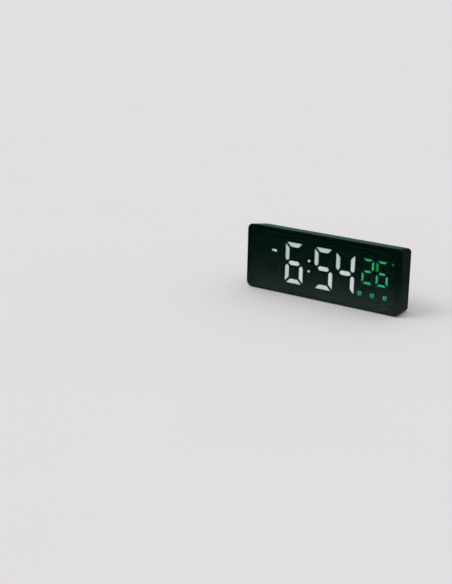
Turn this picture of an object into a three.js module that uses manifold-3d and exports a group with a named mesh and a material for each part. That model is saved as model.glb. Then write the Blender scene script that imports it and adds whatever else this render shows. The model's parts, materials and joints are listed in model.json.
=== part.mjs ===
// Digital desk clock: a slim black case with a dark front pane over a seven-segment light display,
// three AAA cells behind a rear door, five rear keys, a sliding switch and a charging socket.
//
// Frame: millimetres, +X to the right of someone reading the display, +Y to the back, +Z up.
// The origin is on the desk under the middle of the clock. A depth is measured back from the
// front edge of the case, and a height up from the desk.

import * as THREE from "three";
import { mergeVertices } from "three/addons/utils/BufferGeometryUtils.js";
import Module from "manifold-3d";

const wasm = await Module();
wasm.setup();

// Large digits, in one row
const DIGIT_W = 18.95;
const DIGIT_H = 37.75;
const DIGIT_BAR = 4.05;
const DIGIT_SLIT = 1.5;
const DIGIT_GAP = 3.3;
const DIGITS_DROP = 0.65;
const COLON_GAP = 11.9;
const COLON_SHIFT = 0.15;
const COLON_R = 1.15;
const COLON_SPREAD = 9.5;

// Small digits, degree mark, alarm marks and the half-day letters
const SMALL_W = 11.85;
const SMALL_H = 22.85;
const SMALL_BAR = 2.2;
const SMALL_SLIT = 1.3;
const SMALL_GAP = 2.2;
const SMALL_RISE = 5.3;
const GROUP_GAP = 7.1;
const DEGREE_R = 0.95;
const DEGREE_REACH = 4.1;
const DEGREE_DROP = 1.3;
const ALARM_R = 1.65;
const BELL_TILT = 40;
const BELL_REACH = 1.28;
const BELL_HALF_L = 0.36;
const BELL_HALF_T = 0.14;
const ALARM_SHAFT = 1.6;
const ALARM_PITCH = 12.5;
const ALARM_DROP = 15.65;
const ALARM_SHIFT = -1.65;
const LETTER_W = 1.85;
const LETTER_H = 2.15;
const LETTER_STROKE = 0.55;
const LETTER_WAIST = 0.36;
const LETTER_DIP = 0.3;
const LETTER_NOTCH = 0.58;
const LETTER_GAP = 0.6;
const LETTERS_RISE = 8.6;
const LETTERS_SHIFT = 0.55;
const ROW_MARGIN_LEFT = 10.5;
const ROW_MARGIN_RIGHT = 2.1;

// Layers of the display, from the pane to the circuit board
const PANE_SET_BACK = 0.1;
const PANE_T = 2.0;
const TAPE_T = 0.3;
const GUIDE_T = 0.8;
const REFLECTOR_T = 4.8;
const BOARD_T = 1.6;
const PAD_SET_BACK = 0.05;
const PAD_CLEAR = 0.1;
const CELL_CLEAR = 0.1;

// AAA cell and the bay that holds three of them
const CELL_R = 5.25;
const CELL_L = 44.5;
const NUB_R = 1.9;
const NUB_L = 0.8;
const CELL_COUNT = 3;
const CELL_SPACE = 0.4;
const CELL_FLOOR_GAP = 0.3;
const CELL_DOOR_GAP = 0.9;
const BAY_WALL = 2.4;
const BAY_FLOOR = 1.2;
const BAY_BOARD_GAP = 0.6;
const UNDER_BAY = 3.6;
const RIB_W = 1.4;
const RIB_H = 2.0;

// Battery contacts, springs and leads
const CONTACT_T = 0.4;
const CONTACT_GAP = 0.2;
const CONTACT_HALF = 4.2;
const CONTACT_RISE = 8.4;
const TAB_HALF = 1.5;
const TAB_OUT = 1.2;
const SPRING_L = 4.3;
const SPRING_WIRE_R = 0.3;
const SPRING_TURNS = 3.5;
const SPRING_BASE_R = 3.4;
const SPRING_TIP_R = 1.9;
const LEAD_R = 0.5;
const LEAD_SIDES = 8;
const LEAD_STEPS = 10;
const LEAD_OUT = 3.4;
const LEAD_BEND = 0.2;
const TAB_LEAD_GAP = 0.3;

// Case shell
const CASE_BOTTOM = 0.5;
const WALL = 1.8;
const RIM = 1.2;
const FRONT_BEVEL = 0.4;
const CORNER_R = 5.5;
const CORNER_R_REAR = 3.2;
const REAR_ROUND = 3.0;
const SIDE_MARGIN = 8.0;
const SIDE_FALL = 4.0;
const TOP_FALL = 3.4;
const PARTING_PAST_BOARD = 1.0;
const LEDGE_T = 1.5;
const LEDGE_W = 2.4;
const TONGUE_L = 1.2;
const TONGUE_T = 0.8;
const TONGUE_CLEAR = 0.3;
const FIT = 0.3;

// Rear keys, with their switches and board
const KEY_ZONE = 11.0;
const KEY_COUNT = 5;
const KEY_PITCH = 14.0;
const CAP_W = 9.0;
const CAP_H = 4.6;
const CAP_PROUD = 0.5;
const FLANGE = 1.0;
const FLANGE_T = 0.8;
const FLANGE_GAP = 0.2;
const STEM_R = 1.5;
const STEM_L = 0.3;
const PLUNGER_R = 1.7;
const PLUNGER_L = 2.3;
const SWITCH_SIDE = 6.0;
const SWITCH_H = 3.5;
const SWITCH_WELL = 1.4;
const KEY_TRAVEL = 0.5;
const KEY_BOARD_T = 1.2;
const KEY_BOARD_EDGE = 0.7;
const KEY_BOARD_END = 1.8;
const PIECE_GAP = 0.4;

// Charging socket and the sliding voice switch beside the keys
const SOCKET_W = 7.8;
const SOCKET_H = 3.0;
const SOCKET_WALL = 0.3;
const SOCKET_CHAMFER = 0.9;
const SOCKET_SET_BACK = 0.9;
const SOCKET_FLOOR = 0.6;
const INSULATOR_T = 1.0;
const INSULATOR_FIT = 0.15;
const CONTACT_TONGUE_W = 4.4;
const CONTACT_TONGUE_T = 0.6;
const SLIDER_BODY_W = 8.6;
const SLIDER_BODY_H = 4.4;
const SLIDER_BODY_T = 4.0;
const SLIDER_POCKET = 1.4;
const KNOB_W = 2.0;
const KNOB_H = 1.8;
const KNOB_PROUD = 0.4;
const KNOB_TRAVEL = 2.0;

// Screws: head radius, head height and shaft radius
const CASE_SCREW = { headR: 2.1, headH: 1.8, shaftR: 1.0 };
const SMALL_SCREW = { headR: 1.9, headH: 1.2, shaftR: 0.8 };
const POST_R = 2.6;
const KEY_POST_R = 2.4;
const TUBE_R = 3.6;
const SCREW_EDGE = 3.2;
const SCREW_SEAT = 3.6;
const SCREW_BITE = 3.0;
const BOARD_SCREW_EDGE = 2.6;
const KEY_SCREW_BITE = 4.6;
const CROSS_REACH = 0.6;
const CROSS_WIDTH = 0.16;

// Battery door
const DOOR_T = 1.4;
const DOOR_LAP = 1.0;
const DOOR_HOOK_T = 1.2;
const DOOR_HOOK_DROP = 0.5;
const DOOR_HOOK_REACH = 2.2;
const DOOR_HOOK_ROOT = 1.4;
const DOOR_HOOK_W = 6.0;
const DOOR_HOOK_X = 15.0;
const HOOK_POCKET = 1.0;
const LATCH_W = 7.0;
const LATCH_T = 1.2;
const LATCH_L = 2.2;
const LATCH_GAP = 0.4;
const THUMB_W = 10.0;
const THUMB_H = 1.7;

// Pieces on the display board, and what the rear wall has for them
const BOARD_EDGE = 1.9;
const LAMP_W = 1.6;
const LAMP_H = 0.8;
const LAMP_T = 0.6;
const LAMP_PAIR_OVER = 10.0;
const CHIP_SIDE = 10.0;
const CHIP_T = 1.4;
const CHIP_AT = { x: 45, z: 36 };
const BUZZER_R = 6.0;
const BUZZER_H = 9.0;
const BUZZER_AT = { x: -46, z: 24 };
const SOUND_HOLE_R = 0.7;
const SOUND_RING_R = 3.2;
const SOUND_HOLES = 6;
const MIC_R = 3.0;
const MIC_H = 2.7;
const MIC_AT = { x: 46, z: 25 };
const MIC_BOSS_T = 0.8;
const PINHOLE_R = 0.6;
const BEAD_R = 1.4;
const BEAD_AT = { x: 50, z: 11 };
const BEAD_GAP = 1.2;
const BEAD_LEG_R = 0.3;
const BEAD_LEG_SPREAD = 1.3;
const VENT_W = 6.0;
const VENT_H = 1.0;
const VENT_PITCH = 2.2;
const VENT_COUNT = 3;

// Ribbon between the two boards
const RIBBON_W = 8.0;
const RIBBON_T = 0.4;
const RIBBON_RISE = 4.0;

// Rubber feet
const FOOT_R = 3.3;
const FOOT_SUNK = 0.5;
const FOOT_INSET = 22.0;

// How finely round things are drawn
const CORNER_STEPS = 6;
const SMALL_CORNER_STEPS = 4;
const ROUND_STEPS = 5;
const SPRING_SIDES = 5;
const SPRING_STEPS_PER_TURN = 8;
const LEAST_SIDES = 8;
const SIDES_PER_MM = 3.2;
const sidesOf = (radius) => 2 * Math.round((LEAST_SIDES + SIDES_PER_MM * radius) / 2);

// Depths of the layers
const PANE_REAR = PANE_SET_BACK + PANE_T;
const GUIDE_FRONT = PANE_REAR + TAPE_T;
const REFLECTOR_FRONT = GUIDE_FRONT + GUIDE_T;
const BOARD_FRONT = REFLECTOR_FRONT + REFLECTOR_T;
const BOARD_REAR = BOARD_FRONT + BOARD_T;
const BAY_FRONT = BOARD_REAR + BAY_BOARD_GAP;
const BAY_INSIDE = BAY_FRONT + BAY_FLOOR;
const CELL_D = BAY_INSIDE + CELL_FLOOR_GAP + CELL_R;
const DOOR_FRONT = CELL_D + CELL_R + CELL_DOOR_GAP;
const CASE_DEPTH = DOOR_FRONT + DOOR_T;
const DEPTH = CASE_DEPTH + CAP_PROUD;
const REAR_INSIDE = CASE_DEPTH - WALL;
const PARTING = BOARD_FRONT + PARTING_PAST_BOARD;

// Heights, built up from the desk
const CELL_PITCH = 2 * CELL_R + CELL_SPACE;
const BAY_Z0 = CASE_BOTTOM + WALL + UNDER_BAY + BAY_WALL;
const BAY_Z1 = BAY_Z0 + CELL_COUNT * CELL_PITCH + CELL_SPACE;
const KEY_ZONE_Z0 = BAY_Z1 + BAY_WALL;
const KEY_ZONE_Z1 = KEY_ZONE_Z0 + KEY_ZONE;
const HEIGHT = KEY_ZONE_Z1 + WALL + TOP_FALL;
const TOP_SLOPE = TOP_FALL / (REAR_INSIDE - FRONT_BEVEL);
const KEY_Z = (KEY_ZONE_Z0 + KEY_ZONE_Z1) / 2;
const DIGITS_Z = (CASE_BOTTOM + HEIGHT) / 2 - DIGITS_DROP;

// Widths, built up from the row of digits
const ROW_DIGITS = 4 * DIGIT_W + 2 * DIGIT_GAP + COLON_GAP;
const ROW_SMALL = 2 * SMALL_W + SMALL_GAP;
const ROW_W = ROW_MARGIN_LEFT + ROW_DIGITS + GROUP_GAP + ROW_SMALL + DEGREE_REACH + ROW_MARGIN_RIGHT;
const STACK_X = ROW_W / 2;
const WIDTH = ROW_W + 2 * SIDE_MARGIN;
const SIDE_SLOPE = SIDE_FALL / (CASE_DEPTH - FRONT_BEVEL);
const BAY_X = (CELL_L + SPRING_L) / 2 + CONTACT_T + CONTACT_GAP;

// Places that several pieces share
const pastBevel = (depth) => Math.max(depth - FRONT_BEVEL, 0);
const topAt = (depth) => HEIGHT - TOP_SLOPE * pastBevel(depth);
const sideAt = (depth) => WIDTH / 2 - SIDE_SLOPE * pastBevel(depth);
const SCREW_X = sideAt(CASE_DEPTH) - REAR_ROUND - SCREW_EDGE;
const SCREW_Z0 = CASE_BOTTOM + REAR_ROUND + SCREW_EDGE;
const SCREW_Z1 = topAt(CASE_DEPTH) - REAR_ROUND - SCREW_EDGE;
const STACK_Z0 = CASE_BOTTOM + WALL + LEDGE_W;
const STACK_Z1 = topAt(BOARD_FRONT) - WALL - LEDGE_W;
const STACK_MAIN_X = SCREW_X - POST_R - 2 * FIT;
const WING_Z0 = SCREW_Z0 + POST_R + 2 * FIT;
const WING_Z1 = SCREW_Z1 - POST_R - 2 * FIT;
const BOARD_SCREW_X = STACK_MAIN_X - SCREW_SEAT;
const FLANGE_REAR = REAR_INSIDE - FLANGE_GAP;
const STEM_END = FLANGE_REAR - FLANGE_T - STEM_L;
const PLUNGER_END = STEM_END - PLUNGER_L;
const SWITCH_TOP = PLUNGER_END - KEY_TRAVEL - PAD_CLEAR + SWITCH_WELL;
const KEY_BOARD_REAR = SWITCH_TOP - SWITCH_H;
const KEY_BOARD_FRONT = KEY_BOARD_REAR - KEY_BOARD_T;
const LAST_KEY_X = ((KEY_COUNT - 1) / 2) * KEY_PITCH;
const KEY_POST_X = LAST_KEY_X + CAP_W / 2 + FLANGE + PIECE_GAP + KEY_POST_R;
const SOCKET_X = -(KEY_POST_X + KEY_POST_R + PIECE_GAP + SOCKET_W / 2);
const SLIDER_X = KEY_POST_X + KEY_POST_R + PIECE_GAP + SLIDER_BODY_W / 2;
const KNOB_SLOT_W = KNOB_W + KNOB_TRAVEL + 2 * FIT;
const KNOB_SLOT_H = KNOB_H + 2 * FIT;
const KEY_BOARD_X = SLIDER_X + SLIDER_BODY_W / 2 + KEY_BOARD_END;
const DOOR_X = BAY_X + DOOR_LAP;
const DOOR_Z0 = BAY_Z0 - DOOR_LAP;
const DOOR_Z1 = BAY_Z1 + DOOR_LAP;
const SIDES = [-1, 1];

// Colour, roughness and metalness of each material
const FINISH = {
  case: { color: 0x121614, roughness: 0.4, metalness: 0 },
  pane: { color: 0x0a0f0d, roughness: 0.06, metalness: 0 },
  mask: { color: 0x060707, roughness: 0.8, metalness: 0 },
  guide: { color: 0xe9eeec, roughness: 0.5, metalness: 0 },
  white: { color: 0xd9d9d2, roughness: 0.6, metalness: 0 },
  board: { color: 0x1f5a35, roughness: 0.5, metalness: 0 },
  black: { color: 0x161616, roughness: 0.5, metalness: 0 },
  rubber: { color: 0x1b1b1b, roughness: 0.9, metalness: 0 },
  steel: { color: 0xb4b6b8, roughness: 0.35, metalness: 1 },
  cell: { color: 0x3f6f4a, roughness: 0.4, metalness: 0.3 },
  cap: { color: 0x2a2e2c, roughness: 0.5, metalness: 0 },
  redLead: { color: 0xa02420, roughness: 0.6, metalness: 0 },
  blackLead: { color: 0x181818, roughness: 0.6, metalness: 0 },
  ribbon: { color: 0xb8bcc0, roughness: 0.6, metalness: 0 },
  bead: { color: 0x23211f, roughness: 0.5, metalness: 0 },
};

// Solids and booleans
function solid(geometry) {
  const bare = geometry.clone();
  bare.deleteAttribute("normal");
  bare.deleteAttribute("uv");
  const merged = mergeVertices(bare);
  const corners = merged.index.array;
  const triangles = [];
  for (let i = 0; i < corners.length; i += 3) {
    const [a, b, c] = corners.slice(i, i + 3);
    const flat = a === b || b === c || c === a;
    if (!flat) {
      triangles.push(a, b, c);
    }
  }
  const vertProperties = new Float32Array(merged.attributes.position.array);
  const mesh = new wasm.Mesh({ numProp: 3, vertProperties, triVerts: new Uint32Array(triangles) });
  return new wasm.Manifold(mesh);
}

function toGeometry(manifold) {
  const mesh = manifold.getMesh();
  const geometry = new THREE.BufferGeometry();
  geometry.setAttribute("position", new THREE.BufferAttribute(mesh.vertProperties, 3));
  geometry.setIndex(new THREE.BufferAttribute(mesh.triVerts, 1));
  return geometry;
}

const join = (first, ...rest) => rest.reduce((whole, piece) => whole.add(piece), first);
const cut = (first, ...rest) => rest.reduce((whole, piece) => whole.subtract(piece), first);
const yAt = (depth) => depth - DEPTH / 2;

// Outlines in the face plane, as points (x, z) that run anticlockwise seen from the front
const at = (x, z) => new THREE.Vector2(x, z);
const rectangle = (x0, x1, z0, z1) => [at(x0, z0), at(x1, z0), at(x1, z1), at(x0, z1)];

function arc(x, z, radius, from, to, steps) {
  const points = [];
  for (let i = 0; i <= steps; i += 1) {
    const angle = THREE.MathUtils.degToRad(from + ((to - from) * i) / steps);
    points.push(at(x + radius * Math.cos(angle), z + radius * Math.sin(angle)));
  }
  return points;
}

const disc = (x, z, radius, sides = sidesOf(radius)) => arc(x, z, radius, 0, 360, sides).slice(0, -1);

function roundedRectangle(x0, x1, z0, z1, radius, steps = CORNER_STEPS) {
  return [
    ...arc(x1 - radius, z0 + radius, radius, -90, 0, steps),
    ...arc(x1 - radius, z1 - radius, radius, 0, 90, steps),
    ...arc(x0 + radius, z1 - radius, radius, 90, 180, steps),
    ...arc(x0 + radius, z0 + radius, radius, 180, 270, steps),
  ];
}

// The same outline with every edge moved outwards
function grown(points, amount) {
  return points.map((corner, i) => {
    const arriving = corner.clone().sub(points.at(i - 1)).normalize();
    const leaving = points[(i + 1) % points.length].clone().sub(corner).normalize();
    const normalIn = at(arriving.y, -arriving.x);
    const normalOut = at(leaving.y, -leaving.x);
    const share = amount / (1 + normalIn.dot(normalOut));
    return corner.clone().addScaledVector(normalIn.add(normalOut), share);
  });
}

// A straight-sided solid between two depths, its outline given in the face plane
function slab(points, front, rear) {
  const shape = new THREE.Shape(points);
  const geometry = new THREE.ExtrudeGeometry(shape, { depth: rear - front, bevelEnabled: false });
  return solid(geometry.rotateX(Math.PI / 2).translate(0, yAt(rear), 0));
}

function piercedSlab(points, front, rear, holes) {
  return cut(slab(points, front, rear), ...holes.map((hole) => slab(hole, front - FIT, rear + FIT)));
}

function box(x0, x1, front, rear, z0, z1) {
  return slab(rectangle(x0, x1, z0, z1), front, rear);
}

// A box round a middle point of the face plane
function block(x, z, width, height, front, rear) {
  return box(x - width / 2, x + width / 2, front, rear, z - height / 2, z + height / 2);
}

function rod(x, z, radius, front, rear) {
  const geometry = new THREE.CylinderGeometry(radius, radius, rear - front, sidesOf(radius));
  return solid(geometry.translate(x, yAt((front + rear) / 2), z));
}

// A solid through rings of equally many points, each at its own depth
function loft(rings) {
  const count = rings[0].points.length;
  const positions = rings.flatMap((ring) => ring.points.flatMap((p) => [p.x, yAt(ring.depth), p.y]));
  const index = [];
  for (let r = 0; r + 1 < rings.length; r += 1) {
    for (let i = 0; i < count; i += 1) {
      const a = r * count + i;
      const b = r * count + ((i + 1) % count);
      index.push(a, a + count, b, b, a + count, b + count);
    }
  }
  const last = (rings.length - 1) * count;
  for (const [a, b, c] of THREE.ShapeUtils.triangulateShape(rings[0].points, [])) {
    index.push(a, b, c);
  }
  for (const [a, b, c] of THREE.ShapeUtils.triangulateShape(rings.at(-1).points, [])) {
    index.push(last + a, last + c, last + b);
  }
  const geometry = new THREE.BufferGeometry();
  geometry.setAttribute("position", new THREE.Float32BufferAttribute(positions, 3));
  geometry.setIndex(index);
  return solid(geometry);
}

// The tapered case: a ring of its outline at one depth, moved inwards by an inset
function caseRing(depth, inset) {
  const side = sideAt(depth) - inset;
  const cornerR = CORNER_R + ((CORNER_R_REAR - CORNER_R) * depth) / CASE_DEPTH;
  const radius = Math.max(cornerR - inset, FIT);
  const points = roundedRectangle(-side, side, CASE_BOTTOM + inset, topAt(depth) - inset, radius);
  return { depth, points };
}

const caseSlice = (front, rear, inset) => loft([caseRing(front, inset), caseRing(rear, inset)]);

// Outline shared by the mask, light guide and reflector, notched round the screw posts
function stackOutline(grow) {
  const mainX = STACK_MAIN_X + grow;
  const wingX = STACK_X + grow;
  const bottom = STACK_Z0 - grow;
  const top = STACK_Z1 + grow;
  const wingBottom = WING_Z0 - grow;
  const wingTop = WING_Z1 + grow;
  return [
    at(-mainX, bottom), at(mainX, bottom), at(mainX, wingBottom), at(wingX, wingBottom),
    at(wingX, wingTop), at(mainX, wingTop), at(mainX, top), at(-mainX, top),
    at(-mainX, wingTop), at(-wingX, wingTop), at(-wingX, wingBottom), at(-mainX, wingBottom),
  ];
}

// Seven bars of one digit
function digitBars(x, z, width, height, bar, slit) {
  const a = width / 2;
  const b = height / 2;
  const half = bar / 2;
  const top = [at(a - slit, b), at(-a + slit, b), at(-a + bar + slit, b - bar), at(a - bar - slit, b - bar)];
  const upperLeft = [
    at(-a, b - slit), at(-a, slit + half), at(-a + half, slit),
    at(-a + bar, slit + half), at(-a + bar, b - bar - slit),
  ];
  const middle = [
    at(a - half - slit, 0), at(a - bar - slit, half), at(-a + bar + slit, half),
    at(-a + half + slit, 0), at(-a + bar + slit, -half), at(a - bar - slit, -half),
  ];
  const mirrored = (points, sx, sz) => {
    const turned = points.map((p) => at(p.x * sx, p.y * sz));
    return sx * sz < 0 ? turned.reverse() : turned;
  };
  const bars = [
    top, mirrored(top, 1, -1), middle, upperLeft,
    mirrored(upperLeft, -1, 1), mirrored(upperLeft, 1, -1), mirrored(upperLeft, -1, -1),
  ];
  return bars.map((points) => points.map((p) => at(p.x + x, p.y + z)));
}

// Where the digits and marks stand in the row
const ROW_LEFT = -STACK_X + ROW_MARGIN_LEFT;
const DIGIT_PITCH = DIGIT_W + DIGIT_GAP;
const MINUTES_LEFT = ROW_LEFT + DIGIT_PITCH + DIGIT_W + COLON_GAP;
const DIGITS_X = [0, DIGIT_PITCH].flatMap((step) => [ROW_LEFT + step, MINUTES_LEFT + step]).map(
  (left) => left + DIGIT_W / 2,
);
const COLON_X = MINUTES_LEFT - COLON_GAP / 2 + COLON_SHIFT;
const SMALL_LEFT = MINUTES_LEFT + DIGIT_PITCH + DIGIT_W + GROUP_GAP;
const SMALL_DIGITS_X = [0, SMALL_W + SMALL_GAP].map((step) => SMALL_LEFT + step + SMALL_W / 2);
const SMALL_Z = DIGITS_Z + SMALL_RISE;
const DEGREE_X = SMALL_LEFT + ROW_SMALL + DEGREE_REACH;
const DEGREE_Z = SMALL_Z + SMALL_H / 2 - DEGREE_DROP;
const ALARMS_X = [-1, 0, 1].map((i) => SMALL_LEFT + ROW_SMALL / 2 + ALARM_SHIFT + i * ALARM_PITCH);
const ALARM_Z = DIGITS_Z - ALARM_DROP;
const LETTERS_X = ROW_LEFT + DIGIT_W / 2 + LETTERS_SHIFT;
const LETTERS_Z = DIGITS_Z + LETTERS_RISE;

const allBars = () => [
  ...DIGITS_X.flatMap((x) => digitBars(x, DIGITS_Z, DIGIT_W, DIGIT_H, DIGIT_BAR, DIGIT_SLIT)),
  ...SMALL_DIGITS_X.flatMap((x) => digitBars(x, SMALL_Z, SMALL_W, SMALL_H, SMALL_BAR, SMALL_SLIT)),
];

const roundMarks = () => [
  ...SIDES.map((side) => disc(COLON_X, DIGITS_Z + (side * COLON_SPREAD) / 2, COLON_R)),
  disc(DEGREE_X, DEGREE_Z, DEGREE_R),
];

// The half-day letters, each one open stroke as on a stencil
function letterOutlines() {
  const w = LETTER_W;
  const h = LETTER_H;
  const s = LETTER_STROKE;
  const waist = LETTER_WAIST * h;
  const dip = LETTER_DIP * h;
  const notch = LETTER_NOTCH * h;
  const first = [
    at(0, 0), at(s, 0), at(s, h - s), at(w - s, h - s), at(w - s, waist + s),
    at(2 * s, waist + s), at(2 * s, waist), at(w, waist), at(w, h), at(0, h),
  ];
  const second = [
    at(0, 0), at(s, 0), at(s, h - 2 * s), at(w / 2, dip), at(w - s, h - 2 * s),
    at(w - s, 0), at(w, 0), at(w, h), at(w - s, h), at(w / 2, notch), at(s, h), at(0, h),
  ];
  const left = LETTERS_X - w - LETTER_GAP / 2;
  const right = LETTERS_X + LETTER_GAP / 2;
  const move = (points, x) => points.map((p) => at(p.x + x, p.y + LETTERS_Z - h / 2));
  return [move(first, left), move(second, right)];
}

// A small alarm clock: a round body with two bells
function alarmOutlines(x) {
  const bells = SIDES.map((side) => {
    const tilt = -side * THREE.MathUtils.degToRad(BELL_TILT);
    const halfL = BELL_HALF_L * ALARM_R;
    const halfT = BELL_HALF_T * ALARM_R;
    const bell = rectangle(-halfL, halfL, -halfT, halfT).map((p) => p.add(at(0, BELL_REACH * ALARM_R)));
    return bell.map((p) => p.rotateAround(at(0, 0), tilt).add(at(x, ALARM_Z)));
  });
  return [disc(x, ALARM_Z, ALARM_R), ...bells];
}

// Fine windows for what is seen, and the wider shafts of the reflector behind them
const windows = () => [
  ...allBars(), ...roundMarks(), ...letterOutlines(), ...ALARMS_X.flatMap(alarmOutlines),
];

function shafts() {
  const reach = LETTER_W + LETTER_GAP;
  const rise = LETTER_H / 2 + LETTER_GAP / 2;
  const letters = rectangle(LETTERS_X - reach, LETTERS_X + reach, LETTERS_Z - rise, LETTERS_Z + rise);
  const alarms = ALARMS_X.map((x) => disc(x, ALARM_Z, ALARM_SHAFT * ALARM_R));
  const marks = [...allBars(), ...roundMarks(), letters, ...alarms];
  return marks.map((points) => grown(points, CELL_CLEAR));
}

// Lamps: one under each mark, two under a long bar
function lampPlaces() {
  return shafts().flatMap((points) => {
    const bounds = new THREE.Box2().setFromPoints(points);
    const size = bounds.getSize(at(0, 0));
    const middle = bounds.getCenter(at(0, 0));
    if (Math.max(size.x, size.y) < LAMP_PAIR_OVER) {
      return [middle];
    }
    const step = size.x > size.y ? at(size.x / 4, 0) : at(0, size.y / 4);
    return [middle.clone().sub(step), middle.clone().add(step)];
  });
}

const fourCorners = (x, z0, z1) => SIDES.flatMap((side) => [at(side * x, z0), at(side * x, z1)]);
const caseScrewPlaces = () => fourCorners(SCREW_X, SCREW_Z0, SCREW_Z1);
const boardScrewPlaces = () =>
  fourCorners(BOARD_SCREW_X, STACK_Z0 + BOARD_SCREW_EDGE, STACK_Z1 - BOARD_SCREW_EDGE);
const keyPlaces = () => Array.from({ length: KEY_COUNT }, (_, i) => -LAST_KEY_X + i * KEY_PITCH);
const cellHeight = (i) => BAY_Z1 - CELL_SPACE - CELL_R - i * CELL_PITCH;

// Rubber feet: two under the front half of the case and two under the rear half
const FRONT_FOOT_D = PARTING / 2 + FIT / 2;
const REAR_FOOT_D = CASE_DEPTH - REAR_ROUND - FOOT_R - FIT;
const FOOT_X = WIDTH / 2 - FOOT_INSET;
const footPlaces = () =>
  [FRONT_FOOT_D, REAR_FOOT_D].flatMap((depth) => SIDES.map((side) => ({ x: side * FOOT_X, depth })));

function upright(x, depth, radius, z0, z1) {
  const geometry = new THREE.CylinderGeometry(radius, radius, z1 - z0, sidesOf(radius));
  return solid(geometry.rotateX(Math.PI / 2).translate(x, yAt(depth), (z0 + z1) / 2));
}

const footRecess = (place) => upright(place.x, place.depth, FOOT_R + FIT, 0, CASE_BOTTOM + FOOT_SUNK);

// Front half of the case
function frontCase() {
  const nose = loft([caseRing(0, FRONT_BEVEL), caseRing(FRONT_BEVEL, 0), caseRing(PARTING, 0)]);
  const tongue = caseSlice(PARTING - WALL, PARTING + TONGUE_L, WALL - TONGUE_T);
  const hollow = caseSlice(GUIDE_FRONT, PARTING + 2 * TONGUE_L, WALL);
  const paneSeat = caseSlice(-FIT, GUIDE_FRONT, RIM);
  const shell = cut(join(nose, tongue), hollow, paneSeat);
  const ledge = caseSlice(GUIDE_FRONT, GUIDE_FRONT + LEDGE_T, WALL / 2);
  const opening = slab(stackOutline(FIT), 0, PARTING);
  const posts = caseScrewPlaces().map((p) => rod(p.x, p.y, POST_R, GUIDE_FRONT + LEDGE_T / 2, BOARD_FRONT));
  const pilots = caseScrewPlaces().map((p) =>
    rod(p.x, p.y, CASE_SCREW.shaftR + FIT, BOARD_FRONT - SCREW_BITE - FIT, BOARD_FRONT + FIT),
  );
  const recesses = footPlaces().slice(0, 2).map(footRecess);
  return cut(join(shell, cut(ledge, opening), ...posts), ...pilots, ...recesses);
}

// Dark front pane, and the tape that holds it
function frontPane() {
  const inset = RIM + FIT;
  const bevel = FRONT_BEVEL / 2;
  return loft([
    caseRing(PANE_SET_BACK, inset + bevel),
    caseRing(PANE_SET_BACK + bevel, inset),
    caseRing(PANE_REAR, inset),
  ]);
}

function paneTape() {
  return cut(caseSlice(PANE_REAR, GUIDE_FRONT, RIM + 2 * FIT), slab(stackOutline(2 * FIT), 0, PARTING));
}

// Display stack
const segmentMask = () => piercedSlab(stackOutline(0), PANE_REAR, GUIDE_FRONT, windows());

function lightGuide() {
  const plate = slab(stackOutline(0), GUIDE_FRONT, REFLECTOR_FRONT);
  const padFront = PANE_REAR + PAD_SET_BACK;
  const padRear = GUIDE_FRONT + GUIDE_T / 2;
  const pads = windows().map((points) => slab(grown(points, -PAD_CLEAR), padFront, padRear));
  return join(plate, ...pads);
}

function reflectorBlock() {
  const block = piercedSlab(stackOutline(0), REFLECTOR_FRONT, BOARD_FRONT, shafts());
  const pilots = boardScrewPlaces().map((p) =>
    rod(p.x, p.y, SMALL_SCREW.shaftR + FIT, BOARD_FRONT - SCREW_BITE - FIT, BOARD_FRONT + FIT),
  );
  return cut(block, ...pilots);
}

function displayBoard() {
  const side = sideAt(BOARD_REAR) - WALL - BOARD_EDGE;
  const bottom = CASE_BOTTOM + WALL + BOARD_EDGE;
  const top = topAt(BOARD_REAR) - WALL - BOARD_EDGE;
  const holes = [
    ...caseScrewPlaces().map((p) => disc(p.x, p.y, CASE_SCREW.shaftR + FIT)),
    ...boardScrewPlaces().map((p) => disc(p.x, p.y, SMALL_SCREW.shaftR + FIT)),
  ];
  const plate = piercedSlab(rectangle(-side, side, bottom, top), BOARD_FRONT, BOARD_REAR, holes);
  const lamps = lampPlaces().map((p) =>
    block(p.x, p.y, LAMP_W, LAMP_H, BOARD_FRONT - LAMP_T, BOARD_FRONT + BOARD_T / 2),
  );
  return join(plate, ...lamps);
}

function controllerChip() {
  return block(CHIP_AT.x, CHIP_AT.z, CHIP_SIDE, CHIP_SIDE, BOARD_REAR, BOARD_REAR + CHIP_T);
}

function buzzer() {
  const top = BOARD_REAR + BUZZER_H;
  const can = rod(BUZZER_AT.x, BUZZER_AT.z, BUZZER_R, BOARD_REAR, top);
  return cut(can, rod(BUZZER_AT.x, BUZZER_AT.z, 2 * SOUND_HOLE_R, top - WALL, top + FIT));
}

function temperatureSensor() {
  const beadD = REAR_INSIDE - BEAD_GAP - BEAD_R;
  const ball = new THREE.SphereGeometry(BEAD_R, sidesOf(BEAD_R), sidesOf(BEAD_R) / 2);
  const bead = solid(ball.translate(BEAD_AT.x, yAt(beadD), BEAD_AT.z));
  const legs = SIDES.map((side) =>
    rod(BEAD_AT.x + (side * BEAD_LEG_SPREAD) / 2, BEAD_AT.z, BEAD_LEG_R, BOARD_REAR, beadD),
  );
  return join(bead, ...legs);
}

// Rear half of the case: shell, bay, screw tubes, key posts and microphone ring
function rearShell() {
  const rings = [caseRing(PARTING, 0)];
  for (let i = 0; i <= ROUND_STEPS; i += 1) {
    const angle = ((Math.PI / 2) * i) / ROUND_STEPS;
    const depth = CASE_DEPTH - REAR_ROUND * (1 - Math.sin(angle));
    rings.push(caseRing(depth, REAR_ROUND * (1 - Math.cos(angle))));
  }
  const hollow = caseSlice(PARTING - FIT, REAR_INSIDE, WALL);
  const rebate = caseSlice(PARTING - FIT, PARTING + TONGUE_L + TONGUE_CLEAR, WALL - TONGUE_T - TONGUE_CLEAR);
  return cut(loft(rings), hollow, rebate);
}

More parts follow.
